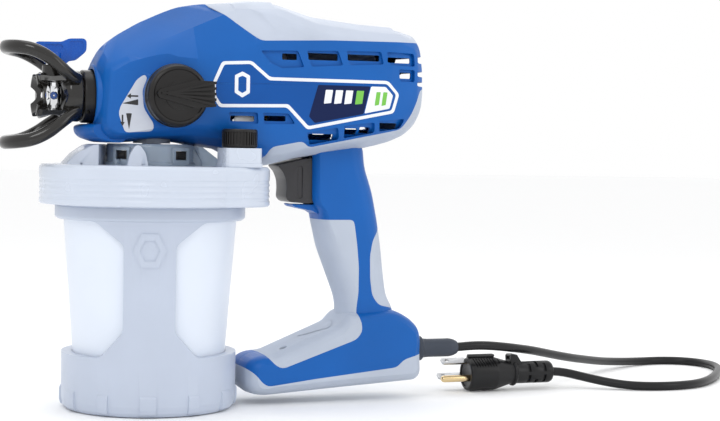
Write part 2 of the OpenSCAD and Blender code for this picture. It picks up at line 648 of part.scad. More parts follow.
// The plug lies on its side, so its parts are drawn round its own axis and then rolled
module plug_frame() translate(plug_at) rotate([plug_roll, 0, 0]) children();
module plug_body() color(black) plug_frame() difference() {
    union() {
        along_x(0, 22, 11.7, 0, 0);
        translate([22 - eps, 0, 0]) rotate([0, 90, 0]) cylinder(h = 13, r1 = 11.2, r2 = 7.5);
        along_x(34, 37, 9.5, 0, 0);
        along_x(36, 66, 7.8, 0, 0);
        // Finger tab
        translate([35.5, 0, 0]) rotate([-plug_roll, 0, 0]) block([-2.4, -5, 5], [2.4, 5, 13.4]);
    }
    // Flats on the sides of the moulding
    for (s = [-1, 1]) block([-1, s > 0 ? 10.6 : -14, -14], [23, s > 0 ? 14 : -10.6, 14]);
    // Flexing slots behind the tab
    for (x = [46, 54]) rotate([-plug_roll, 0, 0]) for (a = [0, 90, 180, 270]) rotate([a, 0, 0])
        block([x, -4, 6.2], [x + 2.4, 4, 9]);
    along_x(60, 67, cord_r, 0, 0);
}
module plug_blades() color(steel) plug_frame() for (s = [-1, 1])
    block([-17.5, s * 6.35 - 0.75, 3.9], [0, s * 6.35 + 0.75, 10.3]);
module ground_pin() color(brass) plug_frame() union() {
    along_x(-19, 0, earth_r, 0, -earth_low);
    translate([-19, 0, -earth_low]) rotate([0, -90, 0]) cylinder(h = 1.6, r1 = earth_r, r2 = 1.2);
}

left_housing();
right_housing();
top_cover();
lower_trim();
front_grip();
rear_grip();
sole_pad();
side_decal();
valve_label();
housing_screws();
pump_block();
outlet_fitting();
inlet_stem();
cup_mount_ring();
lock_tabs();
cup_cover();
vent_valve_base();
vent_cap();
suction_tube();
inlet_filter();
cup_gasket();
cup_support();
cup_liner();
retaining_nut();
tip_guard();
tip_seal();
tip_barrel();
tip_flag();
selector_knob();
valve_stem();
trigger();
switch_plunger();
trigger_spring();
trigger_switch();
speed_switch();
speed_rocker();
control_board();
motor_can();
motor_magnets();
motor_front_plate();
motor_end_plate();
front_bearing();
rear_bearing();
motor_shaft();
armature();
cooling_fan();
motor_pinion();
gear_plate();
drive_gear();
wobble_plate();
piston();
piston_spring();
cord_clamp();
strain_relief();
power_cord();
plug_body();
plug_blades();
ground_pin();
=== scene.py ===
"""Looks of a handheld airless paint sprayer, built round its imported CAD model.

Shapes are drawn in millimetres.
"""

import math

import bmesh
import bpy
from mathutils import Matrix, Vector


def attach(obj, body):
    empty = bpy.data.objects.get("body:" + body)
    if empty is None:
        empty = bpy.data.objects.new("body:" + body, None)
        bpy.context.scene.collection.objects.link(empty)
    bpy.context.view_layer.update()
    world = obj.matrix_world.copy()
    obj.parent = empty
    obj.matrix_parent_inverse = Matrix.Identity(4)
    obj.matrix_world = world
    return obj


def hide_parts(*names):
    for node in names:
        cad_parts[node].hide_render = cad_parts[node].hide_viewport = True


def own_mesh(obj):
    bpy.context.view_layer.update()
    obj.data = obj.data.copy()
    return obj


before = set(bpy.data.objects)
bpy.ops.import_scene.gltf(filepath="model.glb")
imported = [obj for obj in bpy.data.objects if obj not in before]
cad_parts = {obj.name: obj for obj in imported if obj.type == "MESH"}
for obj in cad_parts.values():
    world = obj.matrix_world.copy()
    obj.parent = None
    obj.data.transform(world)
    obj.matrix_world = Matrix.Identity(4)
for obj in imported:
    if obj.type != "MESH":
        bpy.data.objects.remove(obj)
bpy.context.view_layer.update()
MM = 0.001
AXIS_Z = 199.0
ON_AXIS = (0, 0, AXIS_Z)
BARREL_X = -64
scene = bpy.context.scene

# ---------------------------------------------------------------- camera
YAW, PITCH, ROLL = (math.radians(a) for a in (21.0, 2.14, 1.0))
ahead = Vector((math.sin(YAW) * math.cos(PITCH), math.cos(YAW) * math.cos(PITCH), -math.sin(PITCH)))
level = Vector((math.cos(YAW), -math.sin(YAW), 0))
upward = level.cross(ahead)
cam_right = level * math.cos(ROLL) + upward * math.sin(ROLL)
cam_up = upward * math.cos(ROLL) - level * math.sin(ROLL)
camera = bpy.data.objects.new("camera", bpy.data.cameras.new("camera"))
scene.collection.objects.link(camera)
scene.camera = camera
camera.data.lens = 85
camera.data.sensor_width = 36
camera.data.clip_start, camera.data.clip_end = 0.05, 50
camera.matrix_world = Matrix((
    (cam_right.x, cam_up.x, -ahead.x, -0.2669),
    (cam_right.y, cam_up.y, -ahead.y, -1.0725),
    (cam_right.z, cam_up.z, -ahead.z, 0.170),
    (0, 0, 0, 1),
))


# ---------------------------------------------------------------- mesh helpers
def mesh_object(name, verts, faces):
    mesh = bpy.data.meshes.new(name)
    mesh.from_pydata([tuple(c * MM for c in v) for v in verts], [], faces)
    bm = bmesh.new()
    bm.from_mesh(mesh)
    bmesh.ops.remove_doubles(bm, verts=bm.verts, dist=1e-7)
    bmesh.ops.recalc_face_normals(bm, faces=bm.faces)
    bm.to_mesh(mesh)
    bm.free()
    obj = bpy.data.objects.new(name, mesh)
    scene.collection.objects.link(obj)
    return obj


def drop(*objs):
    for o in objs:
        bpy.data.objects.remove(o)


def twin(obj, name="twin"):
    other = bpy.data.objects.new(name, obj.data.copy())
    scene.collection.objects.link(other)
    return other


def boolean(a, b, operation, keep=False):
    """a becomes the union, difference or intersection of a and b."""
    for solver in ("MANIFOLD", "EXACT"):
        mod = a.modifiers.new("cut", "BOOLEAN")
        mod.operation, mod.solver, mod.object = operation, solver, b
        graph = bpy.context.evaluated_depsgraph_get()
        made = bpy.data.meshes.new_from_object(a.evaluated_get(graph))
        a.modifiers.clear()
        same = len(made.vertices) == len(a.data.vertices) and solver == "MANIFOLD"
        if len(made.vertices) and not same:
            break
    a.data = made
    if not keep:
        drop(b)
    return a


def unite(a, *others, keep=False):
    for b in others:
        boolean(a, b, "UNION", keep)
    return a


def cut(a, *others, keep=False):
    for b in others:
        boolean(a, b, "DIFFERENCE", keep)
    return a


def common(a, b, keep=False):
    return boolean(a, b, "INTERSECT", keep)


def fillet(points, reach, closed=True, steps=3):
    """Rounds the corners of a polyline; reach is how far a rounding goes along each side."""
    out, n = [], len(points)
    for i in range(n):
        b = Vector(points[i])
        if not closed and i in (0, n - 1):
            out.append(b)
            continue
        a, c = Vector(points[i - 1]), Vector(points[(i + 1) % n])
        s = b + (a - b) * (min(reach, (a - b).length * 0.45) / (a - b).length)
        e = b + (c - b) * (min(reach, (c - b).length * 0.45) / (c - b).length)
        for k in range(steps + 1):
            t = k / steps
            out.append(s * (1 - t) ** 2 + b * (2 * t * (1 - t)) + e * t * t)
    return out


def rings_solid(name, rings):
    n = len(rings[0])
    verts = [tuple(p) for r in rings for p in r]
    faces = [
        (k * n + i, k * n + (i + 1) % n, (k + 1) * n + (i + 1) % n, (k + 1) * n + i)
        for k in range(len(rings) - 1) for i in range(n)
    ]
    faces += [tuple(range(n)), tuple(range((len(rings) - 1) * n, len(rings) * n))]
    return mesh_object(name, verts, faces)


def put(p, q, w, axis):
    """A point whose plane coordinates are p, q and whose distance along axis is w."""
    return {"x": (w, p, q), "y": (p, w, q), "z": (p, q, w)}[axis]


def prism(name, points, low, high, axis="y"):
    return rings_solid(name, [[put(p[0], p[1], w, axis) for p in points] for w in (low, high)])


def block(low, high, name="block"):
    corners = [(low[0], low[1]), (high[0], low[1]), (high[0], high[1]), (low[0], high[1])]
    return prism(name, corners, low[2], high[2], "z")


def lathe(name, profile, axis="z", at=(0, 0, 0), n=96, turn=0.0):
    """Turns a profile of (radius, distance along axis), which closes unless both ends are on the axis."""
    verts, index = [], []
    for r, w in profile:
        if r < 1e-6:
            index.append([len(verts)] * n)
            verts.append(Vector(put(0, 0, w, axis)) + Vector(at))
            continue
        index.append(list(range(len(verts), len(verts) + n)))
        for k in range(n):
            a = 2 * math.pi * k / n + turn
            verts.append(Vector(put(r * math.cos(a), r * math.sin(a), w, axis)) + Vector(at))
    ends_on_axis = profile[0][0] < 1e-6 and profile[-1][0] < 1e-6
    faces = []
    for i in range(len(profile) - (1 if ends_on_axis else 0)):
        j = (i + 1) % len(profile)
        for k in range(n):
            m = (k + 1) % n
            loop = [index[i][k], index[i][m], index[j][m], index[j][k]]
            loop = [v for q, v in enumerate(loop) if v not in loop[:q]]
            if len(loop) > 2:
                faces.append(tuple(loop))
    return mesh_object(name, verts, faces)


def rod(name, radius, low, high, axis="z", at=(0, 0, 0), n=64, edge=0.0):
    """A round bar, its rims rounded by edge."""
    profile = [(0, low), (radius, low), (radius, high), (0, high)]
    if edge:
        profile = fillet(profile, edge, closed=False)
    return lathe(name, [tuple(p) for p in profile], axis, at, n)


def tube_frames(points):
    """Tangent and side directions along a path, carried along without twist."""
    tangents = []
    for i in range(len(points)):
        tangents.append((points[min(i + 1, len(points) - 1)] - points[max(i - 1, 0)]).normalized())
    side = tangents[0].orthogonal().normalized()
    frames = []
    for t in tangents:
        side = (side - t * side.dot(t)).normalized()
        frames.append((t, side, t.cross(side)))
    return frames


def tube(name, points, radii, n=20, up=None):
    """A swept bar. radii gives (across, upward) at each point; up fixes the upward direction."""
    points = [Vector(p) for p in points]
    rings = []
    for (t, u, v), p, (ra, rb) in zip(tube_frames(points), points, radii):
        if up is not None:
            v = (Vector(up) - t * Vector(up).dot(t)).normalized()
            u = v.cross(t)
        rings.append([p + u * (ra * math.cos(a)) + v * (rb * math.sin(a))
                      for a in (2 * math.pi * (k + 0.5) / n for k in range(n))])
    return rings_solid(name, rings)


def smooth_path(points, steps=8):
    """A Catmull-Rom curve through the points."""
    p = [Vector(q) for q in points]
    p = [p[0] * 2 - p[1]] + p + [p[-1] * 2 - p[-2]]
    out = []
    for i in range(1, len(p) - 2):
        for k in range(steps):
            t = k / steps
            out.append(0.5 * (2 * p[i] + (p[i + 1] - p[i - 1]) * t
                              + (2 * p[i - 1] - 5 * p[i] + 4 * p[i + 1] - p[i + 2]) * t * t
                              + (3 * p[i] - p[i - 1] - 3 * p[i + 1] + p[i + 2]) * t ** 3))
    out.append(p[-2])
    return out


def spun(obj, angle, axis="Z", centre=(0, 0, 0)):
    """Turns the vertices of obj about a line, in degrees."""
    c = Vector(centre) * MM
    obj.data.transform(Matrix.Translation(c) @ Matrix.Rotation(math.radians(angle), 4, axis)
                       @ Matrix.Translation(-c))
    return obj


# ---------------------------------------------------------------- materials
def principled(name):
    mat = bpy.data.materials.new(name)
    mat.use_nodes = True
    return mat, mat.node_tree.nodes["Principled BSDF"], mat.node_tree


def surface(name, color, rough, grain=1400.0, bump=0.05, tint=0.06, metal=0.0, coat=0.0,
            see_through=0.0, spec=0.5, streaks=None):
    """A moulded or machined surface: slow changes of tone, uneven polish and a fine grain in relief."""
    mat, shader, tree = principled(name)
    node, link = tree.nodes.new, tree.links.new
    place = node("ShaderNodeTexCoord")
    stretch = node("ShaderNodeMapping")
    stretch.inputs["Scale"].default_value = streaks or (1, 1, 1)
    link(place.outputs["Object"], stretch.inputs["Vector"])
    slow, fine = node("ShaderNodeTexNoise"), node("ShaderNodeTexNoise")
    slow.inputs["Scale"].default_value, slow.inputs["Detail"].default_value = 26.0, 4.0
    fine.inputs["Scale"].default_value, fine.inputs["Detail"].default_value = grain, 2.0
    link(place.outputs["Object"], slow.inputs["Vector"])
    link(stretch.outputs["Vector"], fine.inputs["Vector"])
    ramp = node("ShaderNodeValToRGB")
    for stop, k in zip(ramp.color_ramp.elements, (1 - tint, 1 + tint)):
        stop.color = tuple(min(1.0, c * k) for c in color) + (1,)
    ramp.color_ramp.elements[0].position, ramp.color_ramp.elements[1].position = 0.3, 0.7
    link(slow.outputs["Fac"], ramp.inputs["Fac"])
    link(ramp.outputs["Color"], shader.inputs["Base Color"])
    polish = node("ShaderNodeMapRange")
    polish.inputs["To Min"].default_value = max(0.02, rough - 0.06)
    polish.inputs["To Max"].default_value = min(1.0, rough + 0.08)
    link(fine.outputs["Fac"], polish.inputs["Value"])
    link(polish.outputs["Result"], shader.inputs["Roughness"])
    relief = node("ShaderNodeBump")
    relief.inputs["Strength"].default_value = bump
    relief.inputs["Distance"].default_value = 0.0003
    link(fine.outputs["Fac"], relief.inputs["Height"])
    link(relief.outputs["Normal"], shader.inputs["Normal"])
    shader.inputs["Metallic"].default_value = metal
    shader.inputs["Coat Weight"].default_value = coat
    shader.inputs["Coat Roughness"].default_value = 0.12
    shader.inputs["Transmission Weight"].default_value = see_through
    shader.inputs["Specular IOR Level"].default_value = spec
    return mat


MAT = {
    "blue_shell": surface("blue_shell", (0.002, 0.102, 0.40), 0.40, bump=0.08, spec=0.28),
    "grey_shell": surface("grey_shell", (0.49, 0.54, 0.64), 0.42, bump=0.08),
    "soft_grey": surface("soft_grey", (0.45, 0.50, 0.59), 0.62, grain=2200, bump=0.16),
    "decal_film": surface("decal_film", (0.0, 0.075, 0.33), 0.32, bump=0.02, spec=0.25),
    "decal_navy": surface("decal_navy", (0.001, 0.010, 0.065), 0.3, bump=0.02, spec=0.22),
    "decal_white": surface("decal_white", (0.80, 0.82, 0.87), 0.3, bump=0.02, coat=0.1),
    "decal_green": surface("decal_green", (0.16, 0.50, 0.06), 0.3, bump=0.02, coat=0.1),
    "label_film": surface("label_film", (0.56, 0.59, 0.66), 0.4, bump=0.05),
    "label_ink": surface("label_ink", (0.02, 0.02, 0.022), 0.5, bump=0.05),
    "clear_plastic": surface("clear_plastic", (0.55, 0.61, 0.73), 0.34, grain=150, bump=0.008,
                             tint=0.03, see_through=0.12, spec=0.4),
    "cover_plastic": surface("cover_plastic", (0.63, 0.69, 0.80), 0.24, grain=60, bump=0.002,
                             tint=0.02, see_through=0.10, spec=0.5),
    "liner_film": surface("liner_film", (0.78, 0.84, 0.94), 0.36, grain=120, bump=0.01,
                          tint=0.015, see_through=0.08),
    "smoke_plastic": surface("smoke_plastic", (0.50, 0.60, 0.72), 0.16, grain=60, bump=0.002,
                             see_through=0.5, spec=0.5),
    "black_plastic": surface("black_plastic", (0.010, 0.009, 0.009), 0.30, grain=1800, bump=0.1, spec=0.32),
    "gloss_black": surface("gloss_black", (0.008, 0.007, 0.006), 0.15, grain=600, bump=0.05, spec=0.55),
    "dark_grey": surface("dark_grey", (0.030, 0.029, 0.032), 0.36, grain=1800, bump=0.12, spec=0.4),
    "flag_blue": surface("flag_blue", (0.003, 0.085, 0.44), 0.26, bump=0.03, spec=0.35),
    "steel": surface("steel", (0.56, 0.57, 0.59), 0.30, metal=1.0, bump=0.05, streaks=(0.05, 1, 1)),
    "chrome": surface("chrome", (0.74, 0.75, 0.77), 0.10, metal=1.0, bump=0.01),
    "brass": surface("brass", (0.78, 0.60, 0.34), 0.20, metal=1.0, bump=0.02, streaks=(0.05, 1, 1)),
    "copper_winding": surface("copper_winding", (0.60, 0.24, 0.10), 0.35, metal=1.0, grain=900,
                              bump=0.6, streaks=(0.1, 2, 2)),
    "magnet": surface("magnet", (0.07, 0.07, 0.08), 0.6, bump=0.3),
    "board": surface("board", (0.02, 0.20, 0.08), 0.4, grain=300, bump=0.2, tint=0.3),
    "rubber_black": surface("rubber_black", (0.007, 0.007, 0.008), 0.30, grain=2400, bump=0.1, spec=0.32),
    "relief_grey": surface("relief_grey", (0.045, 0.055, 0.075), 0.46, grain=1800, bump=0.14, spec=0.3),
    "valve_blue": surface("valve_blue", (0.02, 0.10, 0.42), 0.25, bump=0.03, coat=0.3),
}


def finish_piece(obj, name, body, slot, replaces=(), mat=None, bevel=0.3, angle=32, segments=2):
    """Names a piece, gives it the material of its slot unless mat is given, rounds its edges, ties it to its
    body and hides the CAD nodes it replaces.
    """
    obj.name = name
    obj.data.name = name
    obj.data.materials.clear()
    obj.data.materials.append(MAT[mat or slot])
    for polygon in obj.data.polygons:
        polygon.use_smooth = True
        polygon.material_index = 0
    if bevel:
        mod = obj.modifiers.new("edges", "BEVEL")
        mod.width, mod.segments, mod.limit_method = bevel * MM, segments, "ANGLE"
        mod.angle_limit = math.radians(angle)
        mod.harden_normals = False
        mod.use_clamp_overlap = True
        mod.miter_outer = "MITER_ARC"
        graph = bpy.context.evaluated_depsgraph_get()
        made = bpy.data.meshes.new_from_object(obj.evaluated_get(graph))
        obj.modifiers.clear()
        obj.data = made
    obj.data.set_sharp_from_angle(angle=math.radians(angle + 6))
    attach(obj, body)
    if replaces:
        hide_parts(*replaces)
    return obj


# ---------------------------------------------------------------- mains cord
CORD_ROUTE = [
    (218, 0, 32.5), (231, 0.5, 33.2), (243, 2, 32.7), (254, 4.5, 31.4), (264, 8, 30),
    (274, 12.5, 28.3), (285, 18, 26.4), (296, 24.5, 24), (308, 32, 21.3), (320, 39.5, 18.7),
    (333, 48, 16), (344, 56, 13.9), (366, 72.5, 9.9), (377, 80.5, 8.1),
    (387, 87.5, 6.7), (398, 94, 5.5), (408, 99.5, 4.5), (418, 104, 3.8), (430, 108, 3.2),
    (441, 109.5, 3.1), (452, 108, 3.1), (462, 103, 3.1), (469, 94.5, 3.1), (472.5, 84, 3.1),
    (472, 71, 3.1), (467, 57, 3.1), (459, 44, 3.1), (448, 29, 3.1), (436, 14, 3.1),
    (423, 0, 3.1), (409, -12, 3.1), (394, -19.5, 3.1), (377, -22.5, 3.1), (362, -20.5, 3.1),
    (349, -15.5, 3.3), (338, -9, 4.4), (327, -2, 6.4), (316, 4.5, 9), (306, 8.5, 11.3),
    (296, 9.5, 12),
]
CORD_R = 3.1
PLUG_AT = (230, 9.5, 12)
cord_line = smooth_path(CORD_ROUTE, 4)
for _ in range(6):
    cord_line = [cord_line[0]] + [
        (a + b * 2 + c) / 4 for a, b, c in zip(cord_line, cord_line[1:], cord_line[2:])
    ] + [cord_line[-1]]
for p in cord_line:
    p.z = max(p.z, CORD_R)
curve = bpy.data.curves.new("mains_cord", "CURVE")
curve.dimensions = "3D"
curve.bevel_depth, curve.bevel_resolution, curve.use_fill_caps = CORD_R * MM, 6, True
line = curve.splines.new("POLY")
line.points.add(len(cord_line) - 1)
for point, p in zip(line.points, cord_line):
    point.co = (*(p * MM), 1)
line.use_smooth = True
mains_cord = bpy.data.objects.new("mains_cord", curve)
scene.collection.objects.link(mains_cord)
curve.materials.append(MAT["rubber_black"])
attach(mains_cord, "gun")
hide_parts("power_cord")

# ---------------------------------------------------------------- the gun's three masses
BODY_HALF, GRIP_HALF, FOOT_HALF = 37.5, 17.5, 24.0
WALL, SKIN = 3.2, 1.6
BODY_OUTLINE = [
    (-40, 176, 0.4), (-40, 219, 0.55), (-34, 231, 0.9), (-25, 238, 1), (-10, 247, 1),
    (5, 254, 1), (15, 258, 1), (28, 260.5, 1), (45, 262, 1), (60, 264, 1), (77, 264.5, 1),
    (102, 256, 1), (136, 252.5, 1), (161, 251.5, 1), (177, 245.5, 1), (180.5, 238.5, 1),
    (183.5, 224, 1), (184.5, 206, 1), (183, 194, 1), (178, 184, 1), (170, 177, 1),
    (158, 172, 1), (140, 168, 1), (94, 161, 1), (76, 156.5, 1), (62, 156.5, 1),
    (42, 167, 0.9), (17, 170, 0.8), (-34, 170, 0.5),
]
BODY_SPINE = ((8, 208), (150, 210))
BODY_LAYERS = [(0, 0), (0.4, 1.5), (0.78, 7), (0.95, 13), (1, 17)]
BODY_TAPER = [(-40, 0.76), (20, 1), (150, 1), (186, 0.92)]
GRIP_OUTLINE = [
    (144, 172, 1), (145.6, 156, 1), (151.2, 140, 1), (155.2, 121, 1), (158, 104, 1), (160, 87, 1),
    (162.6, 70, 1), (168, 61, 1), (168, 40, 1), (124, 40, 1), (129, 58, 1), (128.2, 68, 1),
    (121.2, 86, 1), (114.4, 104, 0.8), (111.8, 120, 0.4), (110.6, 127, 0.4), (105, 132.4, 0.4),
    (104.5, 172, 0.4),
]
GRIP_SPINE = [(40, 146), (85, 141), (125, 132), (172, 126)]
GRIP_LAYERS = [(0, 0), (0.45, 1.2), (0.75, 4), (0.92, 8), (1, 12)]
FOOT_OUTLINE = [
    (60, 14, 1), (60, 26, 1), (63, 30.5, 1), (69, 33, 1), (79, 34, 1), (101, 43, 1),
    (124, 52.5, 1), (131, 60, 1), (160, 62, 1), (168, 60, 1), (176, 55.5, 1), (182, 50, 1),
    (184.2, 43, 1), (184.4, 30, 1), (184.4, 17, 1), (181, 12.5, 1), (118, 8.5, 1), (74, 5.5, 1),
    (66, 6.5, 1), (62, 9.5, 1),
]
FOOT_SPINE = ((80, 20), (168, 32))
FOOT_LAYERS = [(0, 0), (0.65, 0.8), (0.88, 3), (1, 7)]


def lookup(x, table):
    for (a, va), (b, vb) in zip(table, table[1:]):
        if x <= b:
            return va + (vb - va) * min(max((x - a) / (b - a), 0), 1)
    return table[-1][1]


def nearest(p, ends):
    a, b = Vector(ends[0]), Vector(ends[1])
    t = min(max((p - a).dot(b - a) / (b - a).length_squared, 0), 1)
    return a + (b - a) * t


def layer_list(layers, half, reach):
    """Rounded steps from the middle of the side view out to its flat: (share, inset, share of flat)."""
    profile = fillet([(s * half, d) for s, d in layers], reach, closed=False, steps=3)
    rows = [(p[0] / half, p[1], 0.0) for p in profile]
    return rows + [(1.0, layers[-1][1], f) for f in (0.35, 0.7, 0.93, 0.985)]


def form(name, outline, layers, half, toward, reach=3.0, taper=None, t=0.0, edge=4.0):
    outline = fillet(outline, edge)
    steps = layer_list(layers, half, reach)
    rows = [(-s, d, f) for s, d, f in reversed(steps[1:])] + steps
    rings = []
    for s, d, f in rows:
        ring = []
        for p in outline:
            x, z = toward(p, d, t, f)
            k = lookup(p[0] * (1 - f) + x * f, taper) if taper else 1.0
            ring.append((x, s * (half - t) * k, z))
        rings.append(ring)
    return rings_solid(name, rings)


def to_spine(spine):
    def toward(p, d, t, f):
        q = Vector((p[0], p[1]))
        c = nearest(q, spine)
        share = p[2]
        q = q + (c - q).normalized() * ((d + t / max(share, 0.5)) * share)
        q = q + (c - q) * f
        return q.x, q.y
    return toward


def to_grip(p, d, t, f):
    dx = lookup(p[1], GRIP_SPINE) - p[0]
    x = p[0] + math.copysign(min((d + t / p[2]) * p[2], abs(dx) - 1), dx)
    return x + (lookup(p[1], GRIP_SPINE) - x) * f, p[1]


# The shoulders are flat facets: where each stands along the gun, leaves the side and meets the crown.
SHOULDERS = [(-60, 184, 207), (-22, 211, 225), (-6, 219, 232.5), (20, 223.5, 244), (47, 228, 256),
             (84, 247, 290)]


def roof(t, side):
    rings = []
    for x, low, high in SHOULDERS:
        low, high, drop_by = low - 1.1 * t, high - 1.25 * t, 0.9 * t
        edge, crown = BODY_HALF - t, 25 - drop_by
        slope = (high - low) / (edge - crown)
        ridge = lookup(x, [(-60, 218), (-22, 240), (-6, 250), (20, 261.5), (47, 265.5), (84, 310)]) - 1.1 * t
        section = [(edge + 24, low - 24 * slope), (edge, low), (crown, high), (0, ridge), (0, 340),
                   (edge + 24, 340)]
        rings.append([(x, side * y, z) for y, z in section])
    return rings_solid("roof", rings)


def body_form(t=0.0):
    made = form("body_form", BODY_OUTLINE, BODY_LAYERS, BODY_HALF, to_spine(BODY_SPINE), reach=1.6,
                taper=BODY_TAPER, t=t)
    chin = fillet([(-50 + t, 176 + t), (-50.5 + t, 180.2 - t), (-47, 181.6 - t), (-30, 181.8 - t), (-20, 174),
                   (-24, 170 + t), (-38, 170.2 + t), (-47, 173 + t)], 2.0)
    lump = rings_solid("chin", [
        [(x + y * y * 0.018 * (1 if x < -28 else 0), y * (1 - t / 17), z) for x, z in chin]
        for y in (-21, -18, -14, -9, -4, 0, 4, 9, 14, 18, 21)])
    unite(made, lump)
    return cut(made, roof(t, 1), roof(t, -1))


def grip_form(t=0.0):
    return form("grip_form", GRIP_OUTLINE, GRIP_LAYERS, GRIP_HALF, to_grip, reach=2.2, t=t, edge=5.0)


def foot_form(t=0.0):
    return form("foot_form", FOOT_OUTLINE, FOOT_LAYERS, FOOT_HALF, to_spine(FOOT_SPINE),
                reach=2.0, t=t, edge=3.0)


def gun_form(t=0.0):
    return unite(body_form(t), grip_form(t), foot_form(t))


TOP_REGION = [(33, 280), (33, 258.5), (61, 236.5), (110, 238.5), (174, 239.5), (200, 240), (200, 280)]
TRIM_REGION = [
    (60, 150), (62, 157.5), (67.5, 162), (70, 169), (91, 173), (97, 169), (161, 182),
    (167, 192), (175, 209), (200, 209), (200, 150),
]
FRONT_REGION = [
    (90, 121.5), (134, 121.5), (136.5, 105), (138, 90), (138, 72), (137, 60), (139, 48),
    (135, 42.5), (84, 24.5), (79, 26.5), (71, 36), (71, 60),
]
REAR_REGION = [
    (156.5, 119), (148, 108), (145.8, 98), (146.2, 82), (147.8, 71), (152.5, 64.5), (166, 61.5),
    (175, 61), (175, 119),
]
SOLE_REGION = [
    (40, 27), (58, 26.5), (65, 21.5), (70, 15.5), (74, 13), (106, 17), (164, 23), (169, 28),
    (179, 31), (200, 32), (200, -5), (40, -5),
]
DECAL_REGION = [
    (35.5, 222.5), (55, 223.5), (67.5, 213.5), (148.5, 213.5), (157, 205), (153, 192.5),
    (93, 180.5), (79, 194.5), (34, 193.5), (29.5, 200.5), (29.5, 209),
]
LABEL_REGION = [
    (-20.5, 213), (-18.5, 211), (-21.5, 203), (-20.5, 192), (-14.5, 182), (-15, 177.5),
    (-32, 176.5), (-36, 188), (-35, 192.5), (-25, 209.5),
]
VENTS = [
    (76, 86, 225, 229), (93, 114, 225.5, 230), (120, 143, 226, 230), (148, 165.5, 225.5, 229),
    (158, 166.5, 215.5, 219.5), (42, 58, 185, 188.5), (64.5, 79, 185.5, 189),
    (95, 113, 174, 178), (120, 129, 178, 182), (130.5, 138, 179, 183), (144, 158, 182, 186),
]
VENT_RECESSES = [
    [(61, 230.2), (86, 231), (90.5, 220.6), (75.5, 219.4), (68, 222.5)],
    [(92, 231.2), (113.5, 231.8), (117, 222.6), (95.5, 221)],
    [(119.2, 232), (143.4, 232.3), (145.4, 224.2), (122, 222.8)],
    [(147.4, 232.4), (167.6, 231.9), (168.6, 223.5), (150, 224)],
    [(156.5, 221.4), (168.6, 221.2), (168.8, 213.4), (157.6, 213.4)],
    [(40.5, 190.8), (59.6, 190.8), (60.2, 183.6), (41.6, 183.4)],
    [(63, 190.8), (80.5, 190.6), (85, 184), (64, 183.6)],
    [(92.4, 178.6), (114, 182.4), (116.4, 174.6), (96.6, 170.8)],
    [(118, 183.4), (139.4, 186.2), (140.8, 179.4), (119.8, 175.4)],
    [(142.6, 187.2), (161.8, 189), (160.2, 182.8), (144.2, 180.2)],
]
SCREWS = [
    (-2, 236, 25), (54, 228, 31), (169, 235.5, 24), (30, 177, 22), (136, 176, 20),
    (143, 128, 10.5), (146, 66, 12), (92, 29, 18), (174, 46, 17),
]
KNOB_AT = (5.5, 0, 200)
ROCKER_AT = (149, 34.5, 200)


def region(points, low=-100, high=100, reach=3.0):
    return prism("region", fillet(points, reach), low, high)


outer = gun_form()
skin_inner = gun_form(SKIN)
wall_inner = gun_form(WALL)
body0, body_recess = body_form(), body_form(2.1)
grip0 = grip_form()

shell = cut(twin(outer), wall_inner)
bump = fillet([(93, 131.7), (94.6, 129.8), (101, 128.4), (108, 127), (116, 122), (118, 131.2), (104, 131.2)],
              1.2)
unite(shell, cut(prism("bump", bump, -9, 9), twin(grip0)))
trim_prism = region(TRIM_REGION)
trim_prism = cut(trim_prism, twin(grip0))
cut(shell, region(TOP_REGION), twin(trim_prism))
for points in (FRONT_REGION, REAR_REGION, SOLE_REGION):
    cut(shell, region(points))
# nose opening, inlet opening, trigger opening, cord exit
cut(shell, rod("nose", 17.7, -60, -20, "x", ON_AXIS), rod("inlet", 21, 160, 174, "z"))
cut(shell, block((95, -11.6, 131.3), (124, 11.6, 164.6)), rod("exit", 6.5, 178, 200, "x", (0, 0, 32.5)))
for corners in VENT_RECESSES:
    cut(shell, cut(prism("recess", fillet(corners, 1.4), -60, 60), twin(body_recess)))
for x0, x1, z0, z1 in VENTS:
    corners = [(x0, z0), (x1, z0), (x1, z1), (x0, z1)]
    cut(shell, prism("vent", fillet(corners, 0.9), -100, 100))
for z, h in ((210.8, 2.8), (217.2, 3.4), (226, 4.6)):
    notch = [(171.4, z + 0.6), (172.5, z), (200, z - 1), (200, z + h + 1), (172.5, z + h),
             (171.4, z + h - 0.6)]
    cut(shell, prism("rear_notch", notch, -60, 60))
# a raised lip round the nut, and the boss that carries the knob
lip = lathe("lip", fillet(
    [(17.7, -39.4), (18.6, -40.3), (20.6, -39.8), (22.4, -35), (17.7, -35)], 0.7), "x", ON_AXIS)
left = common(twin(shell), block((-100, -100, -100), (300, 0, 300)), keep=False)
boss = rod("boss", 19.2, -37.5, -31, "y", KNOB_AT, edge=0.5)
unite(left, boss)
cut(left, rod("bore", 4.35, -60, -20, "y", KNOB_AT))
right = common(shell, block((-100, 0, -100), (300, 100, 300)))
unite(right, rod("screw_boss", 5.2, 16, 28.6, "y", (-2, 0, 236), edge=0.6))
for x, z, y in SCREWS:
    cut(right, rod("hole", 3.5, y, 100, "y", (x, 0, z), n=32))
cut(right, block((139, 25, 193.5), (159, 60, 206.5)))

top = common(cut(twin(body0), body_form(6)), region(TOP_REGION))
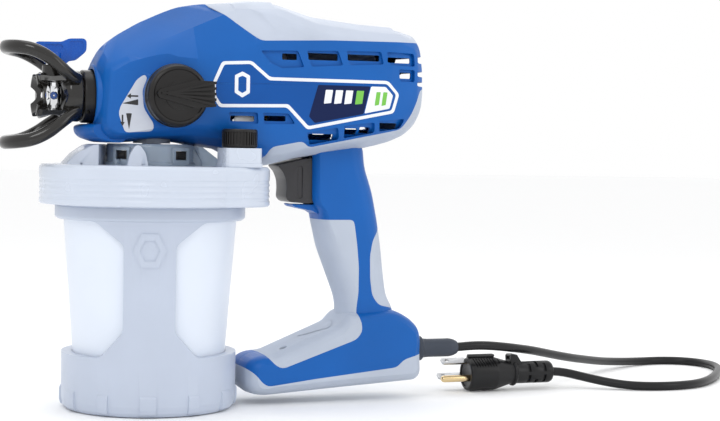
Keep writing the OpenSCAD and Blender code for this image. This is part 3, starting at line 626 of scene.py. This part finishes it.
# two steps down along its crown
steps = [(74, 280), (74.4, 261.4), (87, 258), (102, 254.8), (109, 255), (134, 251.9), (158.2, 251.2),
         (158.9, 247.9), (176.6, 244.4), (180, 239), (190, 230), (190, 280)]
cut(top, prism("steps", steps, -60, 60))
trim = common(cut(twin(body0), body_form(SKIN)), trim_prism)
front = common(cut(twin(outer), twin(skin_inner)), region(FRONT_REGION))
rear = common(cut(twin(outer), twin(skin_inner)), region(REAR_REGION))
sole = common(cut(outer, skin_inner), region(SOLE_REGION))
cut(sole, rod("exit", 6.7, 176, 200, "x", (0, 0, 32.5)))
seam_path = smooth_path([(p[0], 0, p[1]) for p in (
    (110.6, 122.5), (111.2, 115), (112.4, 107.4), (119.3, 83.8), (127.7, 67.3), (128.2, 59.1), (123.5, 52),
    (112, 47), (97, 41.4), (86, 37))], 5)
strip = [(p.x - 0.28, p.z) for p in seam_path] + [(p.x + 0.28, p.z - 0.1) for p in reversed(seam_path)]
cut(front, cut(prism("seam", strip, -60, 60), gun_form(0.5)))
cut(front, rod("pocket", 2.5, 33.5, 50, "z", (87.6, -12, 0), n=40))
for x, z, y in SCREWS:
    for part in (trim, front):
        low, high = [Vector(c) / MM for c in (part.bound_box[0], part.bound_box[6])]
        if low.x < x < high.x and low.z < z < high.z:
            cut(part, rod("hole", 3.5, y, 100, "y", (x, 0, z), n=32))

drop(body0, body_recess, grip0)

finish_piece(left, "left_shell", "gun", "blue_shell", ["left_housing"], bevel=0.35)
finish_piece(right, "right_shell", "gun", "blue_shell", ["right_housing"], bevel=0.35)
finish_piece(lip, "nose_lip", "gun", "blue_shell", bevel=0)
finish_piece(top, "top_shell", "gun", "grey_shell", ["top_cover"], bevel=0.35)
finish_piece(trim, "lower_trim_shell", "gun", "soft_grey", ["lower_trim"], bevel=0.35)
finish_piece(front, "front_grip_skin", "gun", "soft_grey", ["front_grip"], bevel=0.35)
finish_piece(rear, "rear_grip_skin", "gun", "soft_grey", ["rear_grip"], bevel=0.35)
finish_piece(sole, "sole_skin", "gun", "soft_grey", ["sole_pad"], bevel=0.35)

# ---------------------------------------------------------------- printed film on the left side


def film(name, points, proud, slot, mat=None, replaces=(), holes=(), reach=2.0):
    piece = common(cut(body_form(-proud), body_form(-0.02)), region(points, -100, 0, reach))
    for hole in holes:
        cut(piece, region(hole, -100, 10, reach * 0.7))
    return finish_piece(piece, name, "gun", slot, replaces, mat, bevel=0)


FIELD = [
    (37, 220.5), (54.3, 221.4), (66.8, 211.4), (147.6, 211.4), (154.6, 204.6), (151.2, 194.2),
    (93.8, 182.8), (80, 196.6), (35.2, 195.6), (31.6, 201), (31.6, 208.6),
]
film("decal_border", DECAL_REGION, 0.34, "decal_film", "decal_white", ["side_decal"], [FIELD])
film("decal_field", FIELD, 0.26, "decal_film")
film("decal_panel", [(100, 209.5), (136, 209.5), (131.5, 191.4), (98, 184.9), (94, 189)],
     0.31, "decal_film", "decal_navy", reach=0.8)
film("decal_end", [(136.6, 209.5), (146.8, 209.5), (152.2, 204), (149.8, 195.4), (132.2, 191.8)],
     0.31, "decal_film", "decal_white", reach=0.8)
# generic bars in place of lettering
for k, (x, w, z, mat) in enumerate([(104, 5, 202.5, "decal_white"), (111, 5, 202.5, "decal_white"),
                                    (118, 5, 202.5, "decal_white"), (125.5, 5, 202.5, "decal_green"),
                                    (139.2, 3, 202, "decal_green"), (144, 3, 202, "decal_green")]):
    film(f"decal_bar_{k}", [(x, z - 5), (x + w, z - 4.4), (x + w + 1.2, z + 4), (x + 1.2, z + 4)],
         0.36, "decal_film", mat, reach=0.4)
film("decal_chevron", [(44, 214), (49, 216.5), (54, 214), (54, 203), (49, 200), (44, 203)], 0.36,
     "decal_film", "decal_white",
     holes=[[(46.3, 212.6), (49, 213.8), (51.7, 212.6), (51.7, 204.4), (49, 202.8), (46.3, 204.4)]],
     reach=0.6)
LABEL_SHIFT = 7.6


def moved(points, dx=LABEL_SHIFT):
    return [(x + dx, z) for x, z in points]


film("setting_label", moved(LABEL_REGION), 0.34, "label_film", None, ["valve_label"], reach=2.2)
INK = (0.42, "label_film", "label_ink")
film("mark_spray", moved([(-34, 194.6), (-24, 197.4), (-24, 193.6)]), *INK, reach=0.5)
film("mark_spray_arrow", moved([(-31, 199.2), (-28.5, 201), (-28.5, 199.8), (-24, 199.8), (-24, 198.8),
                                (-28.5, 198.8), (-28.5, 197.6)]), *INK, reach=0.2)
film("mark_prime", moved([(-29.6, 178.5), (-31.4, 188.5), (-27.8, 188.5)]), *INK, reach=0.5)
film("mark_prime_arrow", moved([(-33.6, 180.5), (-35, 183), (-34.1, 183), (-34.1, 187.5), (-33.1, 187.5),
                                (-33.1, 183), (-32.2, 183)]), *INK, reach=0.2)

# ---------------------------------------------------------------- knob
knob = lathe("knob", fillet([
    (0, -48.6), (15.5, -48.6), (18.2, -47.6), (19.3, -45.4), (19.5, -41), (20, -40.6), (20, -37.9),
    (0, -37.9)],
    0.8, closed=False), "y", KNOB_AT, 128)
cut(knob, lathe("dish", [(9, -50), (16.6, -50), (16.6, -48.4), (15.8, -47.7), (9, -47.7)], "y", KNOB_AT, 96))
wedge = prism("wedge", fillet([(-8, 198.2), (-9.5, 200.8), (-8, 203.4), (14, 209.4), (27, 209.2),
                               (27.4, 193.2),
                               (14, 192.4)], 1.2), -51.5, -46)
unite(knob, wedge)
for k in range(5):
    far_z, near_z = 201.2 + (k - 2) * 3.5, 201.0 + (k - 2) * 0.55
    fin = [(-7 + abs(k - 2) * 3.5, near_z - 0.5), (-7 + abs(k - 2) * 3.5, near_z + 0.5), (27.3, far_z + 0.85),
           (27.3, far_z - 0.85)]
    unite(knob, prism("fin", fin, -54.6, -50))
finish_piece(knob, "mode_knob", "selector", "black_plastic", ["selector_knob"], bevel=0.35)

# ---------------------------------------------------------------- spray end
nut = lathe("nut", fillet([
    (12.1, -46.9), (15.8, -46.9), (16.8, -46.0), (16.8, -35.2), (16.2, -34.3), (13.7, -34.3), (13.7, -34.7),
    (12.1, -34.7)], 0.5), "x", ON_AXIS, 128)
cut(nut, rod("pin_hole", 1.3, -20, -10, "y", (-44.2, 0, 189.0), n=24))
finish_piece(nut, "collar_nut", "nut", "black_plastic", ["retaining_nut"], bevel=0)

guard = lathe("guard", fillet([
    (7.1, -47.5), (16.2, -47.5), (16.2, -55.4), (15.2, -57.0), (13.4, -60), (12.8, -65), (13.5, -69),
    (14.8, -73.2), (15.0, -75.6), (12.8, -76.2), (9.6, -72.8), (5.3, -67.8), (5.3, -60), (7.1, -60)], 1.0),
    "x", ON_AXIS, 128)
# notches that leave four flared ears round the spray opening
for a in range(0, 360, 90):
    notch = rod("notch", 7.6, -84, -72.6, "x", (0, 17, AXIS_Z), n=48)
    cut(guard, spun(notch, a, "X", ON_AXIS))
# ribs from the ears back along the throat
for a in range(45, 360, 90):
    rib = fillet([(-75.2, 14.6), (-72.4, 15.4), (-66, 14.4), (-58, 15.8), (-55, 15.8), (-55, 9), (-72, 9)],
                 1.2)
    rib = prism("rib", [(x, AXIS_Z + r) for x, r in rib], -2.3, 2.3)
    unite(guard, spun(rib, a, "X", ON_AXIS))
for side in (1, -1):
    half = [(-50.5, 12.6, 10.0), (-56, 15.6, 12.6), (-63, 19.0, 17.6), (-69.5, 20.6, 22.4), (-76, 20.4, 26.0),
            (-82, 18.8, 28.2), (-88, 14.8, 29.2), (-92, 8.4, 29.7), (-93.6, 0, 29.9)]
    loop = [(x, -y, AXIS_Z + side * z) for x, y, z in half]
    loop += [(x, y, AXIS_Z + side * z) for x, y, z in reversed(half[:-1])]
    path = smooth_path(loop, 5)
    wide = []
    for p in path:
        k = min(max((-p.x - 60) / 30, 0), 1)
        wide.append((3.6 + 0.2 * k, 3.9 + 0.4 * k))
    unite(guard, tube("wing", path, wide, 24, up=(0, 0, 1)))
unite(guard, rod("barrel_boss", 6.9, 205, 218.2, "z", (BARREL_X, 0, 0), edge=0.6))
cut(guard, rod("cross_bore", 4.75, 185, 232, "z", (BARREL_X, 0, 0)))
# a six-sided window in each cheek, through which the barrel shows
window = [(-70.4, 199), (-68.4, 191), (-60.6, 191), (-58.4, 199), (-60.6, 207), (-68.4, 207)]
funnel = [(-71.4, 199), (-69.4, 188.8), (-59.4, 188.8), (-56.8, 199), (-59.4, 209.2), (-69.4, 209.2)]
cut(guard, prism("window", fillet(window, 1.2), -30, 30))
for s in (-1, 1):
    cut(guard, rings_solid("funnel", [[(x, s * 8.0, z) for x, z in window],
                                      [(x, s * 14.5, z) for x, z in funnel],
                                      [(x, s * 17.0, z) for x, z in funnel]]))
cut(guard, lathe("mouth", [(0, -84), (13.2, -84), (12.4, -76.4), (9.4, -72.4), (5.4, -67.2), (0, -67.2)], "x",
                 ON_AXIS, 64))
cut(guard, rod("throat", 7.1, -54.1, -40, "x", ON_AXIS))
finish_piece(guard, "guard_body", "guard", "gloss_black", ["tip_guard"], bevel=0.4, angle=36)

barrel = rod("barrel", 4.6, 188.4, 219.6, "z", (BARREL_X, 0, 0), 96, edge=0.5)
for s in (-1, 1):
    cut(barrel, block((-70, s * 4.1 if s > 0 else -9, 193), (-58, 9 if s > 0 else s * 4.1, 205)))
unite(barrel, lathe("seat", fillet([(0, -68.5), (3.2, -68.5), (4.1, -67.6), (4.1, -62), (0, -62)],
                                  0.5, closed=False), "x", ON_AXIS, 48))
cut(barrel, lathe("orifice", [(0, -70), (2.9, -70), (1.5, -66.4), (0.6, -66), (0.6, -60), (0, -60)],
                  "x", ON_AXIS, 48))
for s in (-1, 1):
    eye = lathe("eye", [(0, 3.1), (1.6, 3.1), (2.6, 4.0), (2.9, 6), (0, 6)], "y", (BARREL_X, 0, AXIS_Z), 48)
    cut(barrel, spun(eye, 180 if s < 0 else 0, "Z", (BARREL_X, 0, 0)))
finish_piece(barrel, "spray_barrel", "tip", "chrome", ["tip_barrel"], bevel=0.15)
for s, side_name in ((-1, "near"), (1, "far")):
    disc = lathe("disc", fillet([(0.5, 3.0), (2.2, 3.0), (2.2, 3.5), (1.4, 3.75), (0.5, 3.6)], 0.2),
                 "y", (BARREL_X, 0, AXIS_Z), 48)
    spun(disc, 180 if s < 0 else 0, "Z", (BARREL_X, 0, 0))
    finish_piece(disc, f"barrel_eye_{side_name}", "tip", "flag_blue", mat="valve_blue", bevel=0)
jewel = lathe("jewel", [(0.7, -67.6), (1.9, -68.1), (2.4, -68.4), (2.5, -68.2), (1.4, -66.6), (0.7, -66.4)],
              "x", ON_AXIS, 48)
finish_piece(jewel, "orifice_insert", "tip", "flag_blue", mat="valve_blue", bevel=0)

flag_side = [(-75, 230.0), (-71, 226.5), (-69.5, 219.2), (-56, 219.3), (-54.5, 221), (-50.4, 221.4),
             (-44.4, 226.6), (-43.4, 228.4), (-43.3, 234), (-45, 235.6), (-54.5, 235.2), (-59, 233),
             (-75, 232.6)]
flag = prism("flag", fillet(flag_side, 1.6), -2.3, 2.3)
unite(flag, rod("hub", 5.1, 219.1, 226, "z", (BARREL_X, 0, 0), edge=0.5))
inner = [(-70, 230.8), (-67.5, 227.8), (-59.5, 227.8), (-58, 229.5), (-59.5, 231.2)]
for s in (-1, 1):
    cut(flag, prism("pocket", fillet(inner, 0.8), s * 1.7 if s > 0 else -9, 9 if s > 0 else s * 1.7))
    grip_panel = [(-54, 233.6), (-46.6, 233.9), (-45.2, 232.6), (-45.4, 228.6), (-50.6, 223.8),
                  (-53.4, 224.6)]
    cut(flag, prism("pocket", fillet(grip_panel, 0.8), s * 1.9 if s > 0 else -9, 9 if s > 0 else s * 1.9))
finish_piece(flag, "barrel_flag", "tip", "flag_blue", ["tip_flag"], bevel=0.5)

# ---------------------------------------------------------------- cup cover, vent, mount ring
VENT = (44.5, -48.5)
VENT_AT = (*VENT, 0)
BULGE_R, BULGE_AT = 35.5, (34, -28.5, 0)
DOME_TURN = 159
CUP_TURN = -14
TAB_TURNS = (-142, -66, 38, 114)


def rim_profile(r):
    rows = [(0, 131), (r - 0.6, 131), (r, 132), (r, 134.2)]
    for z in (135.6, 139.2, 142.8, 146.4):
        rows += [(r - 0.5, z - 0.7), (r - 0.5, z + 0.7), (r - 0.12, z + 1.2), (r - 0.12, z + 2.2)]
    rows += [(r, 150.6), (r, 154.2), (r - 1.6, 156), (0, 156)]
    return [tuple(p) for p in fillet(rows, 0.5, closed=False)]


cover = lathe("cover", rim_profile(71.17), n=160)
unite(cover, lathe("bulge", rim_profile(BULGE_R), "z", BULGE_AT, 96))
dome = common(lathe("dome", [(0, 155), (58, 155), (57.4, 157), (52, 163), (44.5, 168.2), (41, 169),
                             (0, 169)], n=128),
              spun(block((29.4, -30, 150), (70, 30, 172)), DOME_TURN))
unite(cover, dome)
fin = fillet([(-24, 155), (-22.6, 162), (-19, 168.4), (-16, 168.8), (-12.4, 164), (-10.4, 155)], 2.0)
unite(cover, prism("fin", fin, -35.5, -32.5))
cut(cover, rod("hollow", 66.4, 130, 152, "z", n=160), rod("mouth", 9, 150, 180))
# thread rings inside the cover's skirt
for z in (135.6, 140.2, 144.8):
    unite(cover, lathe("thread", [(66.9, z - 0.9), (65.7, z - 0.2), (65.7, z + 0.2), (66.9, z + 0.9)], n=128))
# shallow rings under the top of the rim
for r in (62, 50, 38):
    cut(cover, lathe("ring", [(r - 0.5, 155.5), (r + 0.5, 155.5), (r + 0.5, 157), (r - 0.5, 157)], n=128))
finish_piece(cover, "cover_shell", "gun", "clear_plastic", ["cup_cover"], "cover_plastic", bevel=0.3,
             angle=38)

square = [(-12, -12), (12, -12), (12, 12), (-12, 12)]
vent_base = prism("vent_base", fillet([(VENT[0] + x, VENT[1] + y) for x, y in square], 4.5), 156, 168, "z")
foot = [(VENT[0] + 1.04 * x, VENT[1] + 1.04 * y) for x, y in square]
unite(vent_base, prism("vent_foot", fillet(foot, 4.5), 156, 158.4, "z"))
cut(vent_base, rod("socket", 10.4, 164, 170, "z", VENT_AT))
finish_piece(vent_base, "vent_square", "gun", "clear_plastic", ["vent_valve_base"], "cover_plastic",
             bevel=0.5)
cap = lathe("cap", fillet([
    (8, 166.5), (10, 166.5), (10, 168.2), (11.0, 168.6), (11.0, 170), (10.5, 170.4), (10.5, 177.6),
    (11.2, 178.1),
    (11.2, 179.2), (10.4, 179.9), (8.6, 179.9), (8.2, 179.2), (8, 176)], 0.35), "z", VENT_AT, 96)
unite(cap, rod("cap_top", 8.4, 176.5, 179.1, "z", VENT_AT, 64, edge=0.3))
for k in range(36):
    rib = block((VENT[0] + 10.2, VENT[1] - 0.42, 168.8), (VENT[0] + 11.15, VENT[1] + 0.42, 178.2))
    unite(cap, spun(rib, k * 10, "Z", VENT_AT))
unite(cap, block((VENT[0] - 7.2, VENT[1] - 1.6, 178.6), (VENT[0] + 7.2, VENT[1] + 1.6, 179.9)))
finish_piece(cap, "vent_ribbed_cap", "vent_cap", "black_plastic", ["vent_cap"], bevel=0.15)

ring = lathe("ring", fillet([(26.4, 156), (30.4, 156), (30.4, 157.6), (29, 158.2), (29, 168),
                             (28.2, 169.6), (26.4, 169.6)], 0.4), n=128)
for a in (35, 90, 215, 325):
    unite(ring, spun(prism("fin", [(27, 156), (34, 156), (34, 159), (30, 166), (27, 166)], -1, 1), a))
unite(ring, prism("gusset", fillet([(24, 169.6), (27.5, 169.6), (44, 157.4), (44, 156), (24, 156)], 0.8),
                  -16.2, -14))
cut(ring, prism("clear", [(-60, 169.7), (17, 169.7), (46, 165.7), (46, 180), (-60, 180)], -60, 60))
for a in TAB_TURNS:
    cut(ring, spun(block((20, -4.4, 159.6), (40, 4.4, 165.4)), a))
    frame_bar = block((28.2, -6.4, 157.4), (30.6, 6.4, 167.4))
    cut(frame_bar, block((20, -4.4, 159.6), (40, 4.4, 165.4)))
    unite(ring, spun(frame_bar, a))
finish_piece(ring, "mount_ring", "gun", "clear_plastic", ["cup_mount_ring"], "smoke_plastic", bevel=0.25)
tabs = None
for a in TAB_TURNS:
    tab = unite(block((25, -4.0, 159.9), (30.2, 4.0, 165.1)), block((30, -2.4, 161.2), (31, 2.4, 163.8)))
    spun(tab, a)
    tabs = tab if tabs is None else unite(tabs, tab)
finish_piece(tabs, "lock_tab_set", "gun", "black_plastic", ["lock_tabs"], bevel=0.35)

# ---------------------------------------------------------------- cup
support = lathe("support", fillet([
    (0, 0), (50.5, 0), (53.5, 0.8), (55.2, 3), (56, 7), (56, 34), (56.2, 45),
    (56.8, 78), (58.2, 119), (59.2, 121.6), (60.4, 122.2), (61, 123.2), (61, 129.4), (60.6, 130.4),
    (63.4, 130.9),
    (63.4, 147.6), (61, 147.6), (61, 134), (59.4, 131), (55.7, 121), (49.1, 33), (49.1, 4), (0, 4)],
    0.6, closed=False), n=192)
for z in (138, 143, 146.2):
    unite(support, lathe("thread", [(63.0, z - 1.1), (65.1, z - 0.4), (65.1, z + 0.4), (63.0, z + 1.1)],
                         n=128))
for k in range(12):
    half_width = 3.6 if k % 2 else 5
    rib = fillet([(54, 1.5), (56.2, 2.6), (56.95, 5.5), (56.95, 12.6), (56.2, 14), (54, 14)], 0.5)
    unite(support, spun(prism("rib", rib, -half_width, half_width), k * 30 - 104))
for s in (-1, 1):
    window = fillet([(s * 16, 53), (s * 16, 107), (s * 34, 121.4), (s * 70, 121.4), (s * 70, 36.5),
                     (s * 30, 36.5)], 3.0)
    cut(support, spun(prism("window", window, -100, 100), CUP_TURN))
# a plain six-sided boss on the front pillar
hexes = [[(r * math.cos(math.radians(a)), 104 + 1.15 * r * math.sin(math.radians(a)))
          for a in range(0, 360, 60)] for r in (10.5, 6.3)]
badge = cut(prism("badge", hexes[0], -80, -40), prism("badge", hexes[1], -90, -30))
spun(badge, CUP_TURN)
unite(support, common(badge, lathe("skin", [(54, 85), (57.7, 85), (59.3, 121), (54, 121)], n=192)))
finish_piece(support, "cup_body", "cup", "clear_plastic", ["cup_support"], bevel=0.45, angle=36)
liner = lathe("liner", fillet([
    (0, 8), (44, 8), (48.0, 12), (48.7, 33), (55.3, 120.6), (58.9, 131.1), (60.5, 134), (60.5, 148),
    (63.4, 148),
    (63.4, 149.1), (59.6, 149.1), (59.6, 134.3), (58.0, 131.4), (54.5, 121.2), (47.9, 33), (47.2, 12.8),
    (43.6, 9), (0, 9)], 1.2, closed=False), n=160)
finish_piece(liner, "cup_bag", "cup", "liner_film", ["cup_liner"], bevel=0)

# ---------------------------------------------------------------- trigger, strain relief, rocker
trigger = prism("trigger", fillet([
    (82, 157.2), (99, 161.2), (113, 163.2), (115, 162.8), (115, 134), (104, 132), (91, 132.8), (88.2, 135.5),
    (88.6, 142), (88.2, 147.5), (86.2, 152.5)], 1.8), -11, 11)
for s in (-1, 1):
    groove = fillet([(96.2, 135.5), (99.6, 135.5), (99.6, 156.5), (96.2, 156.5)], 1.2)
    cut(trigger, prism("groove", groove, s * 10.2 if s > 0 else -20, 20 if s > 0 else s * 10.2))
finish_piece(trigger, "trigger_shell", "trigger", "dark_grey", ["trigger"], bevel=1.6, segments=4)

relief = lathe("relief", fillet([
    (3.3, 178), (6.3, 178), (6.3, 184.8), (8.6, 184.8), (8.6, 190.6), (6.7, 191.4), (6.3, 196), (6.3, 212),
    (5.7, 215), (4.3, 218), (3.3, 218)], 0.8), "x", (0, 0, 32.5), 96)
finish_piece(relief, "relief_sleeve", "gun", "relief_grey", ["strain_relief"], bevel=0)

rocker = prism("rocker", fillet([(-7.6, -1), (-7.6, 4.6), (0, 3.2), (7.6, 4.6), (7.6, -1), (0, -3)], 0.8),
               -4.6, 4.6, "z")
unite(rocker, rod("pivot", 1.4, -4.9, 4.9, "z", n=24))
rocker.data.transform(Matrix.Translation(Vector(ROCKER_AT) * MM) @ Matrix.Rotation(math.radians(8), 4, "Z"))
for k in (-5.2, -3.6, 3.6, 5.2):
    spot = block((ROCKER_AT[0] + k - 0.3, ROCKER_AT[1] + 4.0, 197),
                 (ROCKER_AT[0] + k + 0.3, ROCKER_AT[1] + 8, 203))
    cut(rocker, spot)
finish_piece(rocker, "speed_rocker_cap", "speed_rocker", "dark_grey", ["speed_rocker"], bevel=0.5)

# ---------------------------------------------------------------- springs
def spring(name, node, x0, x1, r, wire, coils, z):
    """A wound spring along the gun, drawn at one length between its ends and tied to the gun's body."""
    steps = coils * 24
    line = []
    for i in range(steps + 1):
        a, f = i * math.pi / 12, min(max((i / steps * coils - 0.6) / (coils - 1.2), 0), 1)
        line.append((x0 + wire + f * (x1 - x0 - 2 * wire), r * math.cos(a), z + r * math.sin(a)))
    coil = finish_piece(tube(name, line, [(wire, wire)] * len(line), 10, up=(1, 0, 0)), name, "gun", "steel",
                        [node], bevel=0)
    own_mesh(coil)


spring("trigger_coil", "trigger_spring", 115.3, 125.2, 3.6, 0.45, 4, 141)
spring("piston_coil", "piston_spring", 22.3, 42.6, 5.6, 0.6, 9, 190)

# ---------------------------------------------------------------- plug
ROLL_PLUG = -62
BLADE_OFF = 6.35
PIN_LOW = 4.8


def lay(obj):
    """Moves a piece drawn round the plug's own axis to where the plug lies, rolled onto its side."""
    obj.data.transform(Matrix.Translation(Vector(PLUG_AT) * MM)
                       @ Matrix.Rotation(math.radians(ROLL_PLUG), 4, "X"))
    return obj


plug = lathe("plug", fillet([
    (0, 0), (10.4, 0), (11.4, 0.8), (11.7, 2.4), (11.7, 20.5), (11.0, 23), (8.2, 33), (7.9, 34.5), (9.2, 35),
    (9.4, 36.6), (7.8, 37.6), (7.8, 64), (6.8, 66), (0, 66)], 0.7, closed=False), "x", n=96)
for s in (-1, 1):
    cut(plug, block((-1, 10.5 if s > 0 else -14, -14), (23, 14 if s > 0 else -10.5, 14)))
    for k in range(8):
        x = 4 + k * 2.1
        cut(plug, block((x, 9.9 if s > 0 else -14, -8), (x + 0.9, 14 if s > 0 else -9.9, 3.5)))
    unite(plug, prism("ridge", fillet([(1.5, 5.0), (21, 5.0), (22.5, 6.6), (21, 8.2), (1.5, 8.2)], 0.7),
                      8.4 if s > 0 else -11.2, 11.2 if s > 0 else -8.4))
cut(plug, lathe("face", [(0, -1), (8.8, -1), (8.8, 0.7), (0, 0.7)], "x", n=64))
plug_tab = prism("tab", fillet([(33.2, 5), (32.6, 12), (33.6, 13.3), (37.6, 13.3), (38.2, 12.2), (42, 6.5),
                                (42, 4)],
                               0.9), -4.6, 4.6)
cut(plug_tab, block((31, -3, 9.6), (34.4, 3, 12)))
unite(plug, spun(plug_tab, -ROLL_PLUG, "X"))
for n_slot, x in enumerate((45.5, 51.5, 57.5)):
    for a in ((0, 180) if n_slot % 2 else (90, 270)):
        for shift in (-32, 32):
            slot_cut = block((x, -3.2, 6.2), (x + 2.2, 3.2, 9))
            cut(plug, spun(slot_cut, a + shift - ROLL_PLUG, "X"))
cut(plug, rod("cord_hole", 3.1, 60, 70, "x"))
plug = finish_piece(lay(plug), "plug_moulding", "gun", "rubber_black", ["plug_body"], bevel=0.25)
blades = None
for s in (-1, 1):
    blade = prism("blade", fillet([(0.8, 3.9), (0.8, 10.3), (-16.2, 10.3), (-17.5, 9.2), (-17.5, 5),
                                   (-16.2, 3.9)],
                                  0.5), s * BLADE_OFF - 0.75, s * BLADE_OFF + 0.75)
    cut(blade, rod("blade_hole", 1.6, s * BLADE_OFF - 3, s * BLADE_OFF + 3, "y", (-13.2, 0, 7.1), n=32))
    blades = blade if blades is None else unite(blades, blade)
blades = finish_piece(lay(blades), "plug_flat_blades", "gun", "steel", ["plug_blades"], bevel=0.2)
pin = lathe("pin", fillet([(0, -20.6), (1.2, -20.5), (2.0, -19.7), (2.4, -18.6), (2.4, 0.8), (0, 0.8)],
                          0.4, closed=False), "x", (0, 0, -PIN_LOW), 48)
pin = finish_piece(lay(pin), "plug_earth_pin", "gun", "brass", ["ground_pin"], bevel=0)

# ---------------------------------------------------------------- CAD nodes that stay
KEPT = {
    "housing_screws": "steel", "pump_block": "steel", "outlet_fitting": "steel", "inlet_stem": "grey_shell",
    "suction_tube": "cover_plastic", "inlet_filter": "black_plastic", "cup_gasket": "rubber_black",
    "tip_seal": "rubber_black", "valve_stem": "steel", "switch_plunger": "grey_shell", 
    "trigger_switch": "black_plastic", "speed_switch": "black_plastic", "control_board": "board",
    "motor_can": "steel", "motor_magnets": "magnet", "motor_front_plate": "steel",
    "motor_end_plate": "black_plastic", "front_bearing": "chrome", "rear_bearing": "chrome",
    "motor_shaft": "steel", "armature": "copper_winding", "cooling_fan": "black_plastic",
    "motor_pinion": "steel",
    "gear_plate": "steel", "drive_gear": "brass", "wobble_plate": "steel", "piston": "chrome",
    "cord_clamp": "black_plastic",
}
for node, mat in KEPT.items():
    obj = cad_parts[node]
    obj.data.materials.clear()
    obj.data.materials.append(MAT[mat])
    for polygon in obj.data.polygons:
        polygon.use_smooth = True
        polygon.material_index = 0
    obj.data.set_sharp_from_angle(angle=math.radians(32))

# ---------------------------------------------------------------- floor and light
floor = mesh_object("floor", [(-6000, -4000, 0), (6000, -4000, 0), (6000, 9000, 0), (-6000, 9000, 0)],
                    [(0, 1, 2, 3)])
floor_mat = surface("floor", (0.97, 0.973, 0.976), 0.8, grain=60, bump=0.01, tint=0.003)
floor.data.materials.append(floor_mat)

world = bpy.data.worlds.new("studio")
scene.world = world
world.use_nodes = True
world.node_tree.nodes["Background"].inputs["Color"].default_value = (1.0, 1.0, 1.0, 1)
world.node_tree.nodes["Background"].inputs["Strength"].default_value = 1.0


def lamp(name, place, aim, size, power, tint=(1, 1, 1)):
    light = bpy.data.lights.new(name, "AREA")
    light.shape, light.size, light.size_y = "RECTANGLE", size[0], size[1]
    light.energy, light.color = power, tint
    obj = bpy.data.objects.new(name, light)
    scene.collection.objects.link(obj)
    obj.location = place
    obj.rotation_euler = (Vector(aim) - Vector(place)).to_track_quat("-Z", "Y").to_euler()
    return obj


lamp("key", (-0.55, -0.95, 1.05), (0.05, 0, 0.14), (0.6, 0.4), 3.2)
lamp("side", (0.95, -0.75, 0.55), (0.05, 0, 0.13), (0.3, 0.6), 1.0)
lamp("top", (0.05, 0.15, 1.3), (0.05, 0, 0.1), (0.8, 0.6), 1.8)
lamp("rim", (0.3, 1.0, 0.7), (0.05, 0, 0.15), (0.9, 0.5), 1.5)
scene.view_settings.view_transform = "Standard"
